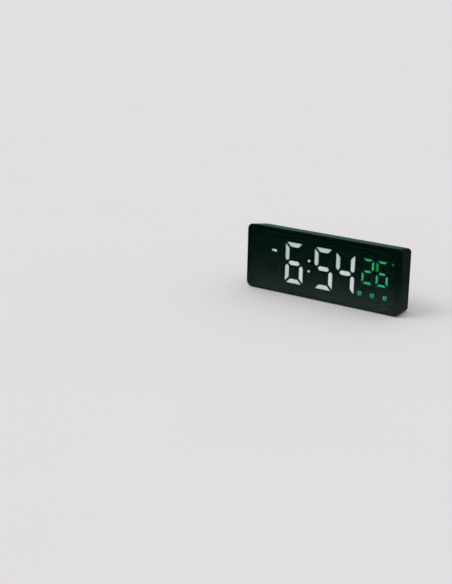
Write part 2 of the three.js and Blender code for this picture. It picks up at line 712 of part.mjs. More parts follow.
function rearFixtures() {
  const inWall = REAR_INSIDE + WALL / 2;
  const bay = box(
    -BAY_X - BAY_WALL, BAY_X + BAY_WALL, BAY_FRONT, inWall, BAY_Z0 - BAY_WALL, BAY_Z1 + BAY_WALL,
  );
  const tubes = caseScrewPlaces().map((p) => rod(p.x, p.y, TUBE_R, BOARD_REAR + FIT, inWall));
  const posts = SIDES.map((side) => rod(side * KEY_POST_X, KEY_Z, KEY_POST_R, KEY_BOARD_REAR, inWall));
  const ring = rod(MIC_AT.x, MIC_AT.z, MIC_R + FIT + MIC_BOSS_T, REAR_INSIDE - MIC_H, inWall);
  return [bay, ...tubes, ...posts, ring];
}

// Battery bay: the hollow, the door's opening with its pockets, and slots for the contact tabs
function bayCuts() {
  const beyond = CASE_DEPTH + FIT;
  const hollow = box(-BAY_X, BAY_X, BAY_INSIDE, beyond, BAY_Z0, BAY_Z1);
  const opening = box(-DOOR_X - FIT, DOOR_X + FIT, DOOR_FRONT, beyond, DOOR_Z0 - FIT, DOOR_Z1 + FIT);
  const pocketHalf = DOOR_HOOK_W / 2 + 2 * FIT;
  const hookFront = DOOR_FRONT - DOOR_HOOK_DROP - DOOR_HOOK_T;
  const pockets = SIDES.flatMap((side) => {
    const x = side * DOOR_HOOK_X;
    const reach = DOOR_Z0 - DOOR_HOOK_REACH - FIT;
    return [
      box(x - pocketHalf, x + pocketHalf, hookFront - HOOK_POCKET, REAR_INSIDE, reach, BAY_Z0 + FIT),
      box(x - pocketHalf, x + pocketHalf, hookFront, DOOR_FRONT + FIT, DOOR_Z0 - FIT, BAY_Z0 + FIT),
    ];
  });
  const thumb = block(0, DOOR_Z1 + FIT, THUMB_W, 2 * THUMB_H, DOOR_FRONT + FIT, beyond);
  const slots = [
    { side: 1, z: cellHeight(0) },
    { side: -1, z: cellHeight(CELL_COUNT - 1) },
  ].map(({ side, z }) => {
    const [x0, x1] = [side * (BAY_X - FIT), side * (BAY_X + BAY_WALL + FIT)].sort((a, b) => a - b);
    return box(x0, x1, TAB_D - FIT, TAB_D + CONTACT_T + FIT, z - TAB_HALF - FIT, z + TAB_HALF + FIT);
  });
  return [hollow, opening, ...pockets, thumb, ...slots];
}

// Low ribs between the cells
function bayRibs() {
  return [0, 1].map((i) => {
    const z = (cellHeight(i) + cellHeight(i + 1)) / 2;
    return box(-BAY_X / 2, BAY_X / 2, BAY_INSIDE - FIT, BAY_INSIDE + RIB_H, z - RIB_W / 2, z + RIB_W / 2);
  });
}

const capOutline = (x, grow) => {
  const halfW = CAP_W / 2 + grow;
  const halfH = CAP_H / 2 + grow;
  const radius = halfH - PAD_CLEAR;
  return roundedRectangle(x - halfW, x + halfW, KEY_Z - halfH, KEY_Z + halfH, radius, SMALL_CORNER_STEPS);
};

function socketOutline(grow) {
  const w = SOCKET_W / 2;
  const h = SOCKET_H / 2;
  const c = SOCKET_CHAMFER;
  const points = [
    at(SOCKET_X - w + c, KEY_Z - h), at(SOCKET_X + w - c, KEY_Z - h), at(SOCKET_X + w, KEY_Z - h + c),
    at(SOCKET_X + w, KEY_Z + h), at(SOCKET_X - w, KEY_Z + h), at(SOCKET_X - w, KEY_Z - h + c),
  ];
  return grown(points, grow);
}

// Openings of the rear wall for screws, keys, socket, switch, sound and air
function rearWallCuts() {
  const beyond = CASE_DEPTH + FIT;
  const inside = REAR_INSIDE - FIT;
  const screwHoles = caseScrewPlaces().flatMap((p) => [
    rod(p.x, p.y, CASE_SCREW.headR + PIECE_GAP, BOARD_REAR + FIT + SCREW_SEAT, beyond),
    rod(p.x, p.y, CASE_SCREW.shaftR + FIT, BOARD_REAR, beyond),
  ]);
  const pilotR = SMALL_SCREW.shaftR + FIT;
  const pilotEnd = KEY_BOARD_REAR + KEY_SCREW_BITE + FIT;
  const pilots = SIDES.map((side) => rod(side * KEY_POST_X, KEY_Z, pilotR, KEY_BOARD_REAR - FIT, pilotEnd));
  const keyHoles = keyPlaces().map((x) => slab(capOutline(x, FIT), inside, beyond));
  const socketHole = slab(socketOutline(PIECE_GAP), inside, beyond);
  const slot = block(SLIDER_X, KEY_Z, KNOB_SLOT_W, KNOB_SLOT_H, inside, beyond);
  const capsule = rod(MIC_AT.x, MIC_AT.z, MIC_R + FIT, REAR_INSIDE - MIC_H - FIT, REAR_INSIDE);
  const pinhole = rod(MIC_AT.x, MIC_AT.z, PINHOLE_R, inside, beyond);
  const switchHoles = [...keyHoles, socketHole, slot];
  return [...screwHoles, ...pilots, ...switchHoles, capsule, pinhole, ...soundHoles(), ...vents()];
}

function soundHoles() {
  const places = [at(0, 0)];
  for (let i = 0; i < SOUND_HOLES; i += 1) {
    places.push(at(SOUND_RING_R, 0).rotateAround(at(0, 0), (2 * Math.PI * i) / SOUND_HOLES));
  }
  return places.map((p) =>
    rod(BUZZER_AT.x + p.x, BUZZER_AT.z + p.y, SOUND_HOLE_R, REAR_INSIDE - FIT, CASE_DEPTH + FIT),
  );
}

function vents() {
  return Array.from({ length: VENT_COUNT }, (_, i) => {
    const z = BEAD_AT.z + (i - (VENT_COUNT - 1) / 2) * VENT_PITCH;
    const x0 = BEAD_AT.x - VENT_W / 2;
    const outline = roundedRectangle(x0, x0 + VENT_W, z - VENT_H / 2, z + VENT_H / 2, 0.45 * VENT_H, 3);
    return slab(outline, REAR_INSIDE - FIT, CASE_DEPTH + FIT);
  });
}

function rearCover() {
  const body = cut(join(rearShell(), ...rearFixtures()), ...bayCuts(), ...rearWallCuts());
  const recesses = footPlaces().slice(2).map(footRecess);
  return cut(join(body, ...bayRibs()), ...recesses);
}

// Battery door with two hooks below and a latch tongue above
function batteryDoor() {
  const plate = slab(
    roundedRectangle(-DOOR_X, DOOR_X, DOOR_Z0, DOOR_Z1, FIT, 1), DOOR_FRONT, CASE_DEPTH,
  );
  const hookRear = DOOR_FRONT - DOOR_HOOK_DROP;
  const hooks = SIDES.flatMap((side) => {
    const x0 = side * DOOR_HOOK_X - DOOR_HOOK_W / 2;
    const x1 = x0 + DOOR_HOOK_W;
    const root = DOOR_Z0 + DOOR_HOOK_ROOT;
    return [
      box(x0, x1, hookRear - DOOR_HOOK_T, hookRear, DOOR_Z0 - DOOR_HOOK_REACH, root),
      box(x0, x1, hookRear - DOOR_HOOK_T, DOOR_FRONT + DOOR_T / 2, DOOR_Z0 + FIT, root),
    ];
  });
  const latchTop = BAY_Z1 - LATCH_GAP;
  const latchZ = latchTop - LATCH_T / 2;
  const latch = block(0, latchZ, LATCH_W, LATCH_T, DOOR_FRONT - LATCH_L, DOOR_FRONT + DOOR_T / 2);
  return join(plate, ...hooks, latch);
}

// AAA cell: its positive end points to +X or to -X
function cell(i) {
  const shoulder = CELL_L - NUB_L;
  const edge = 2 * FIT;
  const profile = [
    at(0, 0), at(CELL_R - edge, 0), at(CELL_R, edge), at(CELL_R, shoulder - edge),
    at(CELL_R - edge, shoulder), at(NUB_R, shoulder), at(NUB_R, CELL_L), at(0, CELL_L),
  ];
  const turn = new THREE.LatheGeometry(profile, sidesOf(CELL_R));
  const direction = i % 2 === 0 ? 1 : -1;
  const minusEnd = direction * (BAY_X - CONTACT_GAP - CONTACT_T - CELL_L);
  turn.rotateZ((-direction * Math.PI) / 2).translate(minusEnd, yAt(CELL_D), cellHeight(i));
  return solid(turn);
}

// Contact plates at the ends of the bay
const TAB_D = CELL_D - CONTACT_RISE / 2 + CONTACT_T;
const plateX = (side) => [side * (BAY_X - CONTACT_GAP - CONTACT_T), side * (BAY_X - CONTACT_GAP)];

function contactPlate(side, first, last) {
  const [x0, x1] = plateX(side).sort((a, b) => a - b);
  const z0 = cellHeight(last) - CONTACT_HALF;
  const z1 = cellHeight(first) + CONTACT_HALF;
  return box(x0, x1, CELL_D - CONTACT_RISE / 2, CELL_D + CONTACT_RISE / 2, z0, z1);
}

const tabEnd = (side) => side * (BAY_X + BAY_WALL + TAB_OUT);

function contactWithTab(side, i) {
  const [x0, x1] = [plateX(side)[0], tabEnd(side)].sort((a, b) => a - b);
  const z = cellHeight(i);
  return join(contactPlate(side, i, i), box(x0, x1, TAB_D, TAB_D + CONTACT_T, z - TAB_HALF, z + TAB_HALF));
}

// Conical spring from a contact plate to the flat end of a cell
class SpringCurve extends THREE.Curve {
  constructor(side, z) {
    super();
    this.side = side;
    this.z = z;
  }

  getPoint(t) {
    const angle = 2 * Math.PI * SPRING_TURNS * t;
    const radius = THREE.MathUtils.lerp(SPRING_BASE_R, SPRING_TIP_R, t);
    const rest = SPRING_WIRE_R + PAD_SET_BACK;
    const along = THREE.MathUtils.lerp(rest, SPRING_L - rest, t);
    const x = this.side * (BAY_X - CONTACT_GAP - CONTACT_T - along);
    return new THREE.Vector3(x, yAt(CELL_D) + radius * Math.cos(angle), this.z + radius * Math.sin(angle));
  }
}

function spring(i) {
  const side = i % 2 === 0 ? -1 : 1;
  const curve = new SpringCurve(side, cellHeight(i));
  const section = new THREE.Shape(disc(0, 0, SPRING_WIRE_R, SPRING_SIDES));
  const steps = Math.round(SPRING_TURNS * SPRING_STEPS_PER_TURN);
  return solid(new THREE.ExtrudeGeometry(section, { steps, extrudePath: curve }));
}

// Least gap of a spring to itself, between points at least half a turn apart
function springGap() {
  const curve = new SpringCurve(1, 0);
  const perTurn = 60;
  const count = Math.round(SPRING_TURNS * perTurn);
  const points = curve.getPoints(count);
  let least = Infinity;
  for (let i = 0; i < count; i += 1) {
    for (let j = i + perTurn / 2; j <= count; j += 1) {
      least = Math.min(least, points[i].distanceTo(points[j]));
    }
  }
  return least - 2 * SPRING_WIRE_R;
}

// Lead from a contact tab to the display board
function lead(side, i) {
  const z = cellHeight(i);
  const start = tabEnd(side) + side * TAB_LEAD_GAP;
  const tabMiddle = TAB_D + CONTACT_T / 2;
  const route = new THREE.CatmullRomCurve3([
    new THREE.Vector3(start, yAt(tabMiddle), z),
    new THREE.Vector3(start + (side * LEAD_OUT) / 2, yAt(tabMiddle - LEAD_BEND), z),
    new THREE.Vector3(start + side * (LEAD_OUT - LEAD_BEND), yAt((tabMiddle + BOARD_REAR) / 2), z),
    new THREE.Vector3(start + side * LEAD_OUT, yAt(BOARD_REAR + FIT), z),
  ]);
  const section = new THREE.Shape(disc(0, 0, LEAD_R, LEAD_SIDES));
  return solid(new THREE.ExtrudeGeometry(section, { steps: LEAD_STEPS, extrudePath: route }));
}

// Ribbon in an S bend, its outline drawn in the side plane and given its width along X
function ribbonCable() {
  const low = KEY_Z - RIBBON_RISE / 2;
  const high = KEY_Z + RIBBON_RISE / 2;
  const front = BOARD_REAR + FIT;
  const rear = KEY_BOARD_FRONT - FIT;
  const bend = new THREE.CubicBezierCurve(at(rear, low), at(front, low), at(rear, high), at(front, high));
  const middle = bend.getPoints(2 * ROUND_STEPS);
  const offset = (sign) =>
    middle.map((p, i) => {
      const tangent = bend.getTangent(i / (2 * ROUND_STEPS));
      return at(p.x - (sign * tangent.y * RIBBON_T) / 2, p.y + (sign * tangent.x * RIBBON_T) / 2);
    });
  const shape = new THREE.Shape([...offset(1), ...offset(-1).reverse()]);
  const geometry = new THREE.ExtrudeGeometry(shape, { depth: RIBBON_W, bevelEnabled: false });
  const turn = new THREE.Matrix4().makeBasis(
    new THREE.Vector3(0, 1, 0), new THREE.Vector3(0, 0, 1), new THREE.Vector3(1, 0, 0),
  );
  return solid(geometry.applyMatrix4(turn).translate(-RIBBON_W / 2, yAt(0), 0));
}

// Key board and what stands on it
function keyBoard() {
  const outline = rectangle(
    -KEY_BOARD_X, KEY_BOARD_X, KEY_ZONE_Z0 + KEY_BOARD_EDGE, KEY_ZONE_Z1 - KEY_BOARD_EDGE,
  );
  const holes = SIDES.map((side) => disc(side * KEY_POST_X, KEY_Z, SMALL_SCREW.shaftR + FIT));
  return piercedSlab(outline, KEY_BOARD_FRONT, KEY_BOARD_REAR, holes);
}

function tactSwitch(x) {
  const half = SWITCH_SIDE / 2;
  const body = box(x - half, x + half, KEY_BOARD_REAR, SWITCH_TOP, KEY_Z - half, KEY_Z + half);
  return cut(body, rod(x, KEY_Z, PLUNGER_R + FIT, SWITCH_TOP - SWITCH_WELL, SWITCH_TOP + FIT));
}

const switchPlunger = (x) => rod(x, KEY_Z, PLUNGER_R, PLUNGER_END, STEM_END);

function keyCap(x) {
  const cap = slab(capOutline(x, 0), FLANGE_REAR - FLANGE_T, DEPTH);
  const flange = slab(capOutline(x, FLANGE), FLANGE_REAR - FLANGE_T, FLANGE_REAR);
  return join(cap, flange, rod(x, KEY_Z, STEM_R, STEM_END, FLANGE_REAR));
}

function voiceSwitchBody() {
  const rear = KEY_BOARD_REAR + SLIDER_BODY_T;
  const body = block(SLIDER_X, KEY_Z, SLIDER_BODY_W, SLIDER_BODY_H, KEY_BOARD_REAR, rear);
  return cut(body, block(SLIDER_X, KEY_Z, KNOB_SLOT_W, KNOB_SLOT_H, rear - SLIDER_POCKET, rear + FIT));
}

function voiceSwitchKnob() {
  const front = KEY_BOARD_REAR + SLIDER_BODY_T - SLIDER_POCKET + FIT;
  return block(SLIDER_X - KNOB_TRAVEL / 2, KEY_Z, KNOB_W, KNOB_H, front, CASE_DEPTH + KNOB_PROUD);
}

const SOCKET_REAR = CASE_DEPTH - SOCKET_SET_BACK;
const SOCKET_INSIDE = KEY_BOARD_REAR + SOCKET_FLOOR;

function socketShell() {
  const hollow = slab(socketOutline(-SOCKET_WALL), SOCKET_INSIDE, SOCKET_REAR + FIT);
  return cut(slab(socketOutline(0), KEY_BOARD_REAR, SOCKET_REAR), hollow);
}

function socketInsulator() {
  const base = slab(
    socketOutline(-SOCKET_WALL - INSULATOR_FIT), SOCKET_INSIDE, SOCKET_INSIDE + INSULATOR_T,
  );
  const half = CONTACT_TONGUE_W / 2;
  const blade = box(
    SOCKET_X - half, SOCKET_X + half, SOCKET_INSIDE, SOCKET_REAR - PIECE_GAP,
    KEY_Z, KEY_Z + CONTACT_TONGUE_T,
  );
  return join(base, blade);
}

const microphone = () => rod(MIC_AT.x, MIC_AT.z, MIC_R, REAR_INSIDE - MIC_H, REAR_INSIDE);

// A cross-head screw: its head rests on the seat and its shaft runs to the tip
function screw(place, seat, tip, size) {
  const { headR, headH, shaftR } = size;
  const away = Math.sign(seat - tip);
  const top = seat + away * headH;
  const span = (a, b) => [Math.min(a, b), Math.max(a, b)];
  const head = rod(place.x, place.y, headR, ...span(seat, top));
  const shaft = rod(place.x, place.y, shaftR, ...span(tip, seat + (away * headH) / 3));
  const reach = CROSS_REACH * headR;
  const width = CROSS_WIDTH * headR;
  const [d0, d1] = span(seat + (away * headH) / 2, top + away * FIT);
  const slots = [
    box(place.x - reach, place.x + reach, d0, d1, place.y - width, place.y + width),
    box(place.x - width, place.x + width, d0, d1, place.y - reach, place.y + reach),
  ];
  return cut(join(head, shaft), ...slots);
}

const caseScrew = (p) => screw(p, BOARD_REAR + FIT + SCREW_SEAT, BOARD_FRONT - SCREW_BITE, CASE_SCREW);
const boardScrew = (p) => screw(p, BOARD_REAR, BOARD_FRONT - SCREW_BITE, SMALL_SCREW);
const keyScrew = (side) =>
  screw(at(side * KEY_POST_X, KEY_Z), KEY_BOARD_FRONT, KEY_BOARD_REAR + KEY_SCREW_BITE, SMALL_SCREW);

const rubberFoot = (place) => upright(place.x, place.depth, FOOT_R, 0, CASE_BOTTOM + FOOT_SUNK);

// Scene
const clock = new THREE.Group();

function add(group, name, manifold, finish) {
  const mesh = new THREE.Mesh(toGeometry(manifold), new THREE.MeshStandardMaterial(FINISH[finish]));
  mesh.name = name;
  group.add(mesh);
}

function addFront(group) {
  add(group, "front_case", frontCase(), "case");
  add(group, "front_lens", frontPane(), "pane");
  add(group, "lens_tape", paneTape(), "black");
  footPlaces().forEach((place, i) => add(group, `rubber_foot_${i + 1}`, rubberFoot(place), "rubber"));
}

function addDisplay(group) {
  add(group, "segment_mask", segmentMask(), "mask");
  add(group, "light_guide", lightGuide(), "guide");
  add(group, "reflector_block", reflectorBlock(), "white");
  add(group, "display_board", displayBoard(), "board");
  add(group, "controller_chip", controllerChip(), "black");
  add(group, "buzzer", buzzer(), "black");
  add(group, "temperature_sensor", temperatureSensor(), "bead");
  boardScrewPlaces().forEach((p, i) => add(group, `board_screw_${i + 1}`, boardScrew(p), "steel"));
}

function addRear(group) {
  add(group, "rear_cover", rearCover(), "case");
  add(group, "battery_door", batteryDoor(), "case");
  add(group, "microphone", microphone(), "steel");
  caseScrewPlaces().forEach((p, i) => add(group, `case_screw_${i + 1}`, caseScrew(p), "steel"));
}

function addBatteries(group) {
  for (let i = 0; i < CELL_COUNT; i += 1) {
    add(group, `battery_${i + 1}`, cell(i), "cell");
    add(group, `battery_spring_${i + 1}`, spring(i), "steel");
  }
  add(group, "contact_positive", contactWithTab(1, 0), "steel");
  add(group, "contact_bridge_left", contactPlate(-1, 0, 1), "steel");
  add(group, "contact_bridge_right", contactPlate(1, 1, 2), "steel");
  add(group, "contact_negative", contactWithTab(-1, CELL_COUNT - 1), "steel");
  add(group, "battery_wire_red", lead(1, 0), "redLead");
  add(group, "battery_wire_black", lead(-1, CELL_COUNT - 1), "blackLead");
}

function addKeys(group) {
  add(group, "key_board", keyBoard(), "board");
  add(group, "ribbon_cable", ribbonCable(), "ribbon");
  keyPlaces().forEach((x, i) => {
    add(group, `tact_switch_${i + 1}`, tactSwitch(x), "black");
    add(group, `switch_plunger_${i + 1}`, switchPlunger(x), "black");
    add(group, `button_cap_${i + 1}`, keyCap(x), "cap");
  });
  add(group, "voice_switch_body", voiceSwitchBody(), "steel");
  add(group, "voice_switch_knob", voiceSwitchKnob(), "cap");
  add(group, "usb_socket_shell", socketShell(), "steel");
  add(group, "usb_socket_insulator", socketInsulator(), "black");
  SIDES.forEach((side, i) => add(group, `key_board_screw_${i + 1}`, keyScrew(side), "steel"));
}

for (const addPieces of [addFront, addDisplay, addRear, addBatteries, addKeys]) {
  addPieces(clock);
}

const overall = [WIDTH, HEIGHT, DEPTH].map((size) => size.toFixed(2)).join(" x ");
console.log(`Clock over its feet and keys: ${overall} mm`);
console.log(`Least gap of a battery spring to itself: ${springGap().toFixed(2)} mm`);

export default clock;
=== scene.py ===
import json
import math

import bmesh
import bpy
from mathutils import Matrix, Vector


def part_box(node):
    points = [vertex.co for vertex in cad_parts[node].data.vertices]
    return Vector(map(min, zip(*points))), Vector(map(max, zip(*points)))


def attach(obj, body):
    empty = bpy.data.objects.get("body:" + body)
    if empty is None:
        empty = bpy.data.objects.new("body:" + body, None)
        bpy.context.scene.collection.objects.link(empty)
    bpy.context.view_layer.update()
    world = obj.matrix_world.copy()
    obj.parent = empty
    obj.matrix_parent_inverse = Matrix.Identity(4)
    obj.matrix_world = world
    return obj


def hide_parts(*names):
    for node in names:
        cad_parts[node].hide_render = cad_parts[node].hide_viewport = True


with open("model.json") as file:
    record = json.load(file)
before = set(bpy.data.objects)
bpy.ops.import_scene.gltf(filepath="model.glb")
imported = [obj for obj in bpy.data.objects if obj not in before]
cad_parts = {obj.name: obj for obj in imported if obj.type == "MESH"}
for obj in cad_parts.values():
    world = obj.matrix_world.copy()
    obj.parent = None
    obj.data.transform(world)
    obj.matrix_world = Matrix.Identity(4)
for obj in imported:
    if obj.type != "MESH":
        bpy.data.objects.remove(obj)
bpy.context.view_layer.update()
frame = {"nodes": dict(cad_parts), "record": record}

# Digital desk clock. Metres, +X to the right of someone reading the display, +Y to the back, +Z up.

MM = 0.001
NODES = frame["nodes"]
REAR_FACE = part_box("rear_cover")[1].y

# Camera, fitted to the clock's outline in the photograph
CAMERA_PLACE = (0.5313, -0.8939, 0.2979)
CAMERA_LENS = 73.67
CAMERA_HEADING = 35.75
CAMERA_DIP = 15.85
CAMERA_ROLL = 1.30
CAMERA_NEAR = 0.01

# Stage: a broad soft lamp from the left front, pale surroundings and a pale floor
KEY_FROM = (-0.9, -1.1, 1.6)
KEY_WIDTH = 35
KEY_STRENGTH = 0.62
HORIZON = (0.77, 0.76, 0.76, 1.0)
ZENITH = (0.75, 0.76, 0.76, 1.0)
ZENITH_RISE = 0.8
FLOOR_R = 14.0
FLOOR_SIDES = 64
FLOOR_COLOUR = (0.84, 0.815, 0.82, 1.0)
FLOOR_SHADE = 0.985
FLOOR_PATCH = 160 * MM
FLOOR_ROUGHNESS = 0.9
FLOOR_SPECULAR = 0.2

# What the display shows: the bars of each digit, a to f clockwise from the top and g in the middle
DIGIT_BARS = {" ": "", "2": "abged", "4": "fgbc", "5": "afgcd", "6": "afgedc"}
TIME_SHOWN = " 654"
TEMPERATURE_SHOWN = "26"

# How strongly each bar is lit, and how far its colour goes from the first light to the second
WHITE_BARS = {
    "a": (0.83, 0.4), "b": (0.87, 0.2), "c": (0.94, 0.4), "d": (0.87, 0.2),
    "e": (0.80, 0.2), "f": (0.78, 0.8), "g": (0.93, 0.1),
}
GREEN_BARS = {
    "a": (0.62, 0.45), "b": (0.72, 0.35), "c": (0.72, 0.6), "d": (0.67, 0.55),
    "e": (0.66, 0.4), "f": (0.53, 0.1), "g": (0.66, 0.8),
}
UNLIT = (0.0, 0.0)
BARS_PER_DIGIT = len(WHITE_BARS)

# How strongly the two letters and the two colon dots are lit, the lower dot first
LETTER_GLOWS = (0.89, 1.02)
COLON_GLOWS = (0.45, 0.58)

# Sizes that tell the pads of the light guide apart, and the half width of a digit's middle band
LEAST_BAR = 5.0 * MM
LEAST_DISC = 2.0 * MM
DISC_CORNERS = 8
MIDDLE_BAND = 0.2

# Pads of the display
PAD_T = 0.25 * MM
PAD_CORNER = 0.12 * MM
PAD_RIM = 0.32 * MM
PAD_CROWN = 0.03 * MM
COLON_RIM = 0.10 * MM
PLATE_GAP = 0.05 * MM
MASK_RECESS = 0.03 * MM

# Light on a pad's rim, as a share of that in its middle
WHITE_RIM = 0.80
GREEN_RIM = 0.30

# Alarm marks and degree mark, in shares of their radius
ALARM_HOLE = 0.86
ALARM_HEEL = (0.66, -0.86)
ALARM_TOE = (0.92, -1.20)
ALARM_FOOT_W = 0.34
DEGREE_HOLE = 0.45

# Printing on the back
INK_T = 0.02 * MM
INK_SUNK = 0.01 * MM
SYMBOL = 0.95 * MM
STROKE = 0.24 * MM
SYMBOL_DROP = 3.9 * MM
LETTER = 0.72 * MM
LETTER_STEP = 1.05 * MM
LETTER_STROKE = 0.18 * MM
WORD_REACH = 4.6 * MM

# Moulding on the battery door
RIB_COUNT = 5
RIB_PITCH = 1.7 * MM
RIB_W = 14.0 * MM
RIB_H = 0.7 * MM
RIB_PROUD = 0.40 * MM
RIBS_BELOW_TOP = 4.8 * MM
ARROW_BELOW_TOP = 15.0 * MM
ARROW_HALF_W = 2.0 * MM
ARROW_L = 2.4 * MM
GRIP_ROUND = 0.12 * MM

# Edges, and how near two corners count as one
SOFT_ANGLE = math.radians(38)
ROUND_STEPS = 3
WELD_REACH = 0.001 * MM
SAME_DEPTH = 0.01 * MM
PLACE_DIGITS = 7
EDGE_ROUND = {
    "front_case": 0.16, "rear_cover": 0.16, "battery_door": 0.16, "button_cap": 0.35,
    "voice_switch_knob": 0.25, "front_lens": 0.05, "case_screw": 0.12, "usb_socket_shell": 0.06,
    "rubber_foot": 0.15,
}

# Lamps of the display: the two linear colours that each one lies between, and its full strength
WHITE_LIGHT = (0.95, 1.0, 1.01, 1.0)
COOL_LIGHT = (0.83, 1.0, 1.00, 1.0)
GREEN_LIGHT = (0.00, 1.0, 0.15, 1.0)
TEAL_LIGHT = (0.07, 1.0, 0.66, 1.0)
MARK_LIGHT = (0.03, 1.0, 0.42, 1.0)
GLOWS = {
    "white_bars": (WHITE_LIGHT, COOL_LIGHT, 1.95),
    "white_signs": (WHITE_LIGHT, COOL_LIGHT, 4.5),
    "green_bars": (GREEN_LIGHT, TEAL_LIGHT, 1.75),
    "green_signs": (MARK_LIGHT, TEAL_LIGHT, 3.3),
    "dim_green": (MARK_LIGHT, TEAL_LIGHT, 0.50),
}
GLOW_DRIFT = 0.05
GLOW_PATCH = 5 * MM
PAD_DARK = (0.08, 0.09, 0.085, 1.0)
PAD_PALE = (0.11, 0.12, 0.115, 1.0)
PAD_PATCH = 1.5 * MM
PAD_ROUGHNESS = 0.5

# Noise: the range that most of it fills
NOISE_LOW = 0.3
NOISE_HIGH = 0.7

# Uneven gloss of every plain surface, and the sheen that some have
GLOSS_SPREAD = 0.06
SHEEN_ROUGHNESS = 0.15
SHEEN_TINT = (0.38, 1.0, 0.87, 1.0)

# Wear at outer edges: how far a rounded normal agrees with the true one where it starts and is full
WEAR_REACH = 0.25 * MM
WEAR_PATCH = 2.5 * MM
WEAR_START = 0.98
WEAR_FULL = 0.85

# Case, which passes into another colour at the back, and grows lighter towards the desk with a painted
# reflection of the floor
CASE_COLOUR = (0.0027, 0.0095, 0.0050, 1.0)
CASE_WORN = (0.030, 0.034, 0.032, 1.0)
# Painted reflection of the floor: the lighter colour that the case's lower part turns to near the desk
CASE_PAINTED_FLOOR_REFLECTION = (0.018, 0.028, 0.019, 1.0)
CASE_BACK = (0.021, 0.026, 0.024, 1.0)
CASE_SHEEN = 0.44
CASE_REFLECTION_FADE = 30.0 * MM
BACK_FADE = 3.0 * MM
BACK_MARGIN = 0.2 * MM
CASE_FADES = (
    ("Z", CASE_REFLECTION_FADE, 0.0, CASE_PAINTED_FLOOR_REFLECTION),
    ("Y", REAR_FACE - BACK_FADE, REAR_FACE - BACK_MARGIN, CASE_BACK),
)

# Pane, whose colour grows lighter towards the bottom with a painted reflection of the floor
PANE_TOP = (0.0000, 0.0085, 0.0058, 1.0)
PANE_PAINTED_FLOOR_REFLECTION = (0.0400, 0.0580, 0.0540, 1.0)
PANE_GLINT = (0.20, 1.0, 0.70, 1.0)
PANE_SPECULAR = 0.07
PANE_ALPHA = 0.42
PANE_SMOOTH = 0.05
PANE_SMEARED = 0.12
PANE_REFLECTION_POWER = 3.0
PANE_REFLECTION_PATCH = 45 * MM
PANE_REFLECTION_DRIFT = 0.2
SMEAR_PATCH = 14 * MM
SMEAR_STRETCH = (1.0, 1.0, 0.45)
SMEAR_LOW = 0.35
SMEAR_HIGH = 0.75

# Jacket of the cells: where each band ends, counted from the end at -X as a share of the length
CELL_BARE = (0.50, 0.50, 0.48, 1.0)
CELL_COPPER = (0.52, 0.20, 0.07, 1.0)
CELL_SLEEVE = (0.020, 0.026, 0.032, 1.0)
TIP_END = 0.03
COPPER_END = 0.30
SLEEVE_END = 0.955
CELL_METAL = 0.6
CELL_PATCH = 3 * MM
CELL_GLOSS = (0.24, 0.36)
CELL_GRAIN = 0.8 * MM
CELL_RELIEF = 0.01 * MM
SPECKLE = 1.2 * MM
SPECKLE_DARK = (0.88, 0.88, 0.88, 1.0)
SPECKLE_PALE = (1.0, 1.0, 1.0, 1.0)

# Circuit boards
BOARD_GREEN = (0.010, 0.085, 0.030, 1.0)
TRACK_GREEN = (0.030, 0.170, 0.060, 1.0)
TRACK_CELL = 6 * MM
TRACK_SHIFT = 0.37
TRACK_LINE = 0.03
TRACK_RELIEF = 0.03 * MM
BOARD_PATCH = 8 * MM
BOARD_GLOSS = (0.28, 0.42)

# Plain surfaces, by material slot, and the ink on the back
LOOKS = {
    "case_plastic": dict(
        colour=CASE_COLOUR, roughness=0.46, relief=0.003 * MM, specular=0.002, sheen=CASE_SHEEN,
        worn=CASE_WORN, fades=CASE_FADES,
    ),
    "tape": dict(
        colour=(0.0012, 0.0024, 0.0020, 1.0), roughness=0.7, grain=0.6 * MM, relief=0.03 * MM,
        specular=0.05,
    ),
    "mask_film": dict(colour=(0.0010, 0.0024, 0.0018, 1.0), roughness=0.6, specular=0.05),
    "diffuser": dict(colour=(0.0040, 0.0070, 0.0056, 1.0), roughness=0.45, mottle=0.05, specular=0.1),
    "white_plastic": dict(colour=(0.62, 0.62, 0.58, 1.0), roughness=0.5, mottle=0.04),
    "black_plastic": dict(colour=(0.012, 0.012, 0.013, 1.0), roughness=0.45),
    "foot_rubber": dict(
        colour=(0.014, 0.014, 0.014, 1.0), roughness=0.82, grain=0.4 * MM, relief=0.03 * MM,
        specular=0.3,
    ),
    "plated_steel": dict(
        colour=(0.58, 0.57, 0.54, 1.0), roughness=0.30, mottle=0.06, patch=2 * MM, metallic=1.0,
    ),
    "screw_steel": dict(
        colour=(0.42, 0.43, 0.45, 1.0), roughness=0.36, mottle=0.12, patch=1 * MM, metallic=1.0,
    ),
    "key_plastic": dict(
        colour=(0.016, 0.020, 0.018, 1.0), roughness=0.48, grain=0.2 * MM, relief=0.008 * MM,
        specular=0.35, worn=(0.06, 0.065, 0.062, 1.0),
    ),
    "red_lead": dict(colour=(0.36, 0.018, 0.014, 1.0), roughness=0.45, patch=2 * MM),
    "black_lead": dict(colour=(0.012, 0.012, 0.012, 1.0), roughness=0.45, patch=2 * MM),
    "ribbon_plastic": dict(colour=(0.36, 0.38, 0.40, 1.0), roughness=0.5, patch=2 * MM),
    "ink": dict(
        colour=(0.55, 0.58, 0.56, 1.0), roughness=0.6, mottle=0.06, patch=1 * MM, grain=0.1 * MM,
        relief=0.002 * MM,
    ),
}


# Shader helpers

# Sockets of the Mix node that carry colours
MIX_FIRST = 6
MIX_SECOND = 7
MIX_RESULT = 2


def new_material(name):
    material = bpy.data.materials.new(name)
    material.use_nodes = True
    return material, material.node_tree, material.node_tree.nodes["Principled BSDF"]


def add_node(tree, kind, **values):
    node = tree.nodes.new(kind)
    for key, value in values.items():
        setattr(node, key, value)
    return node


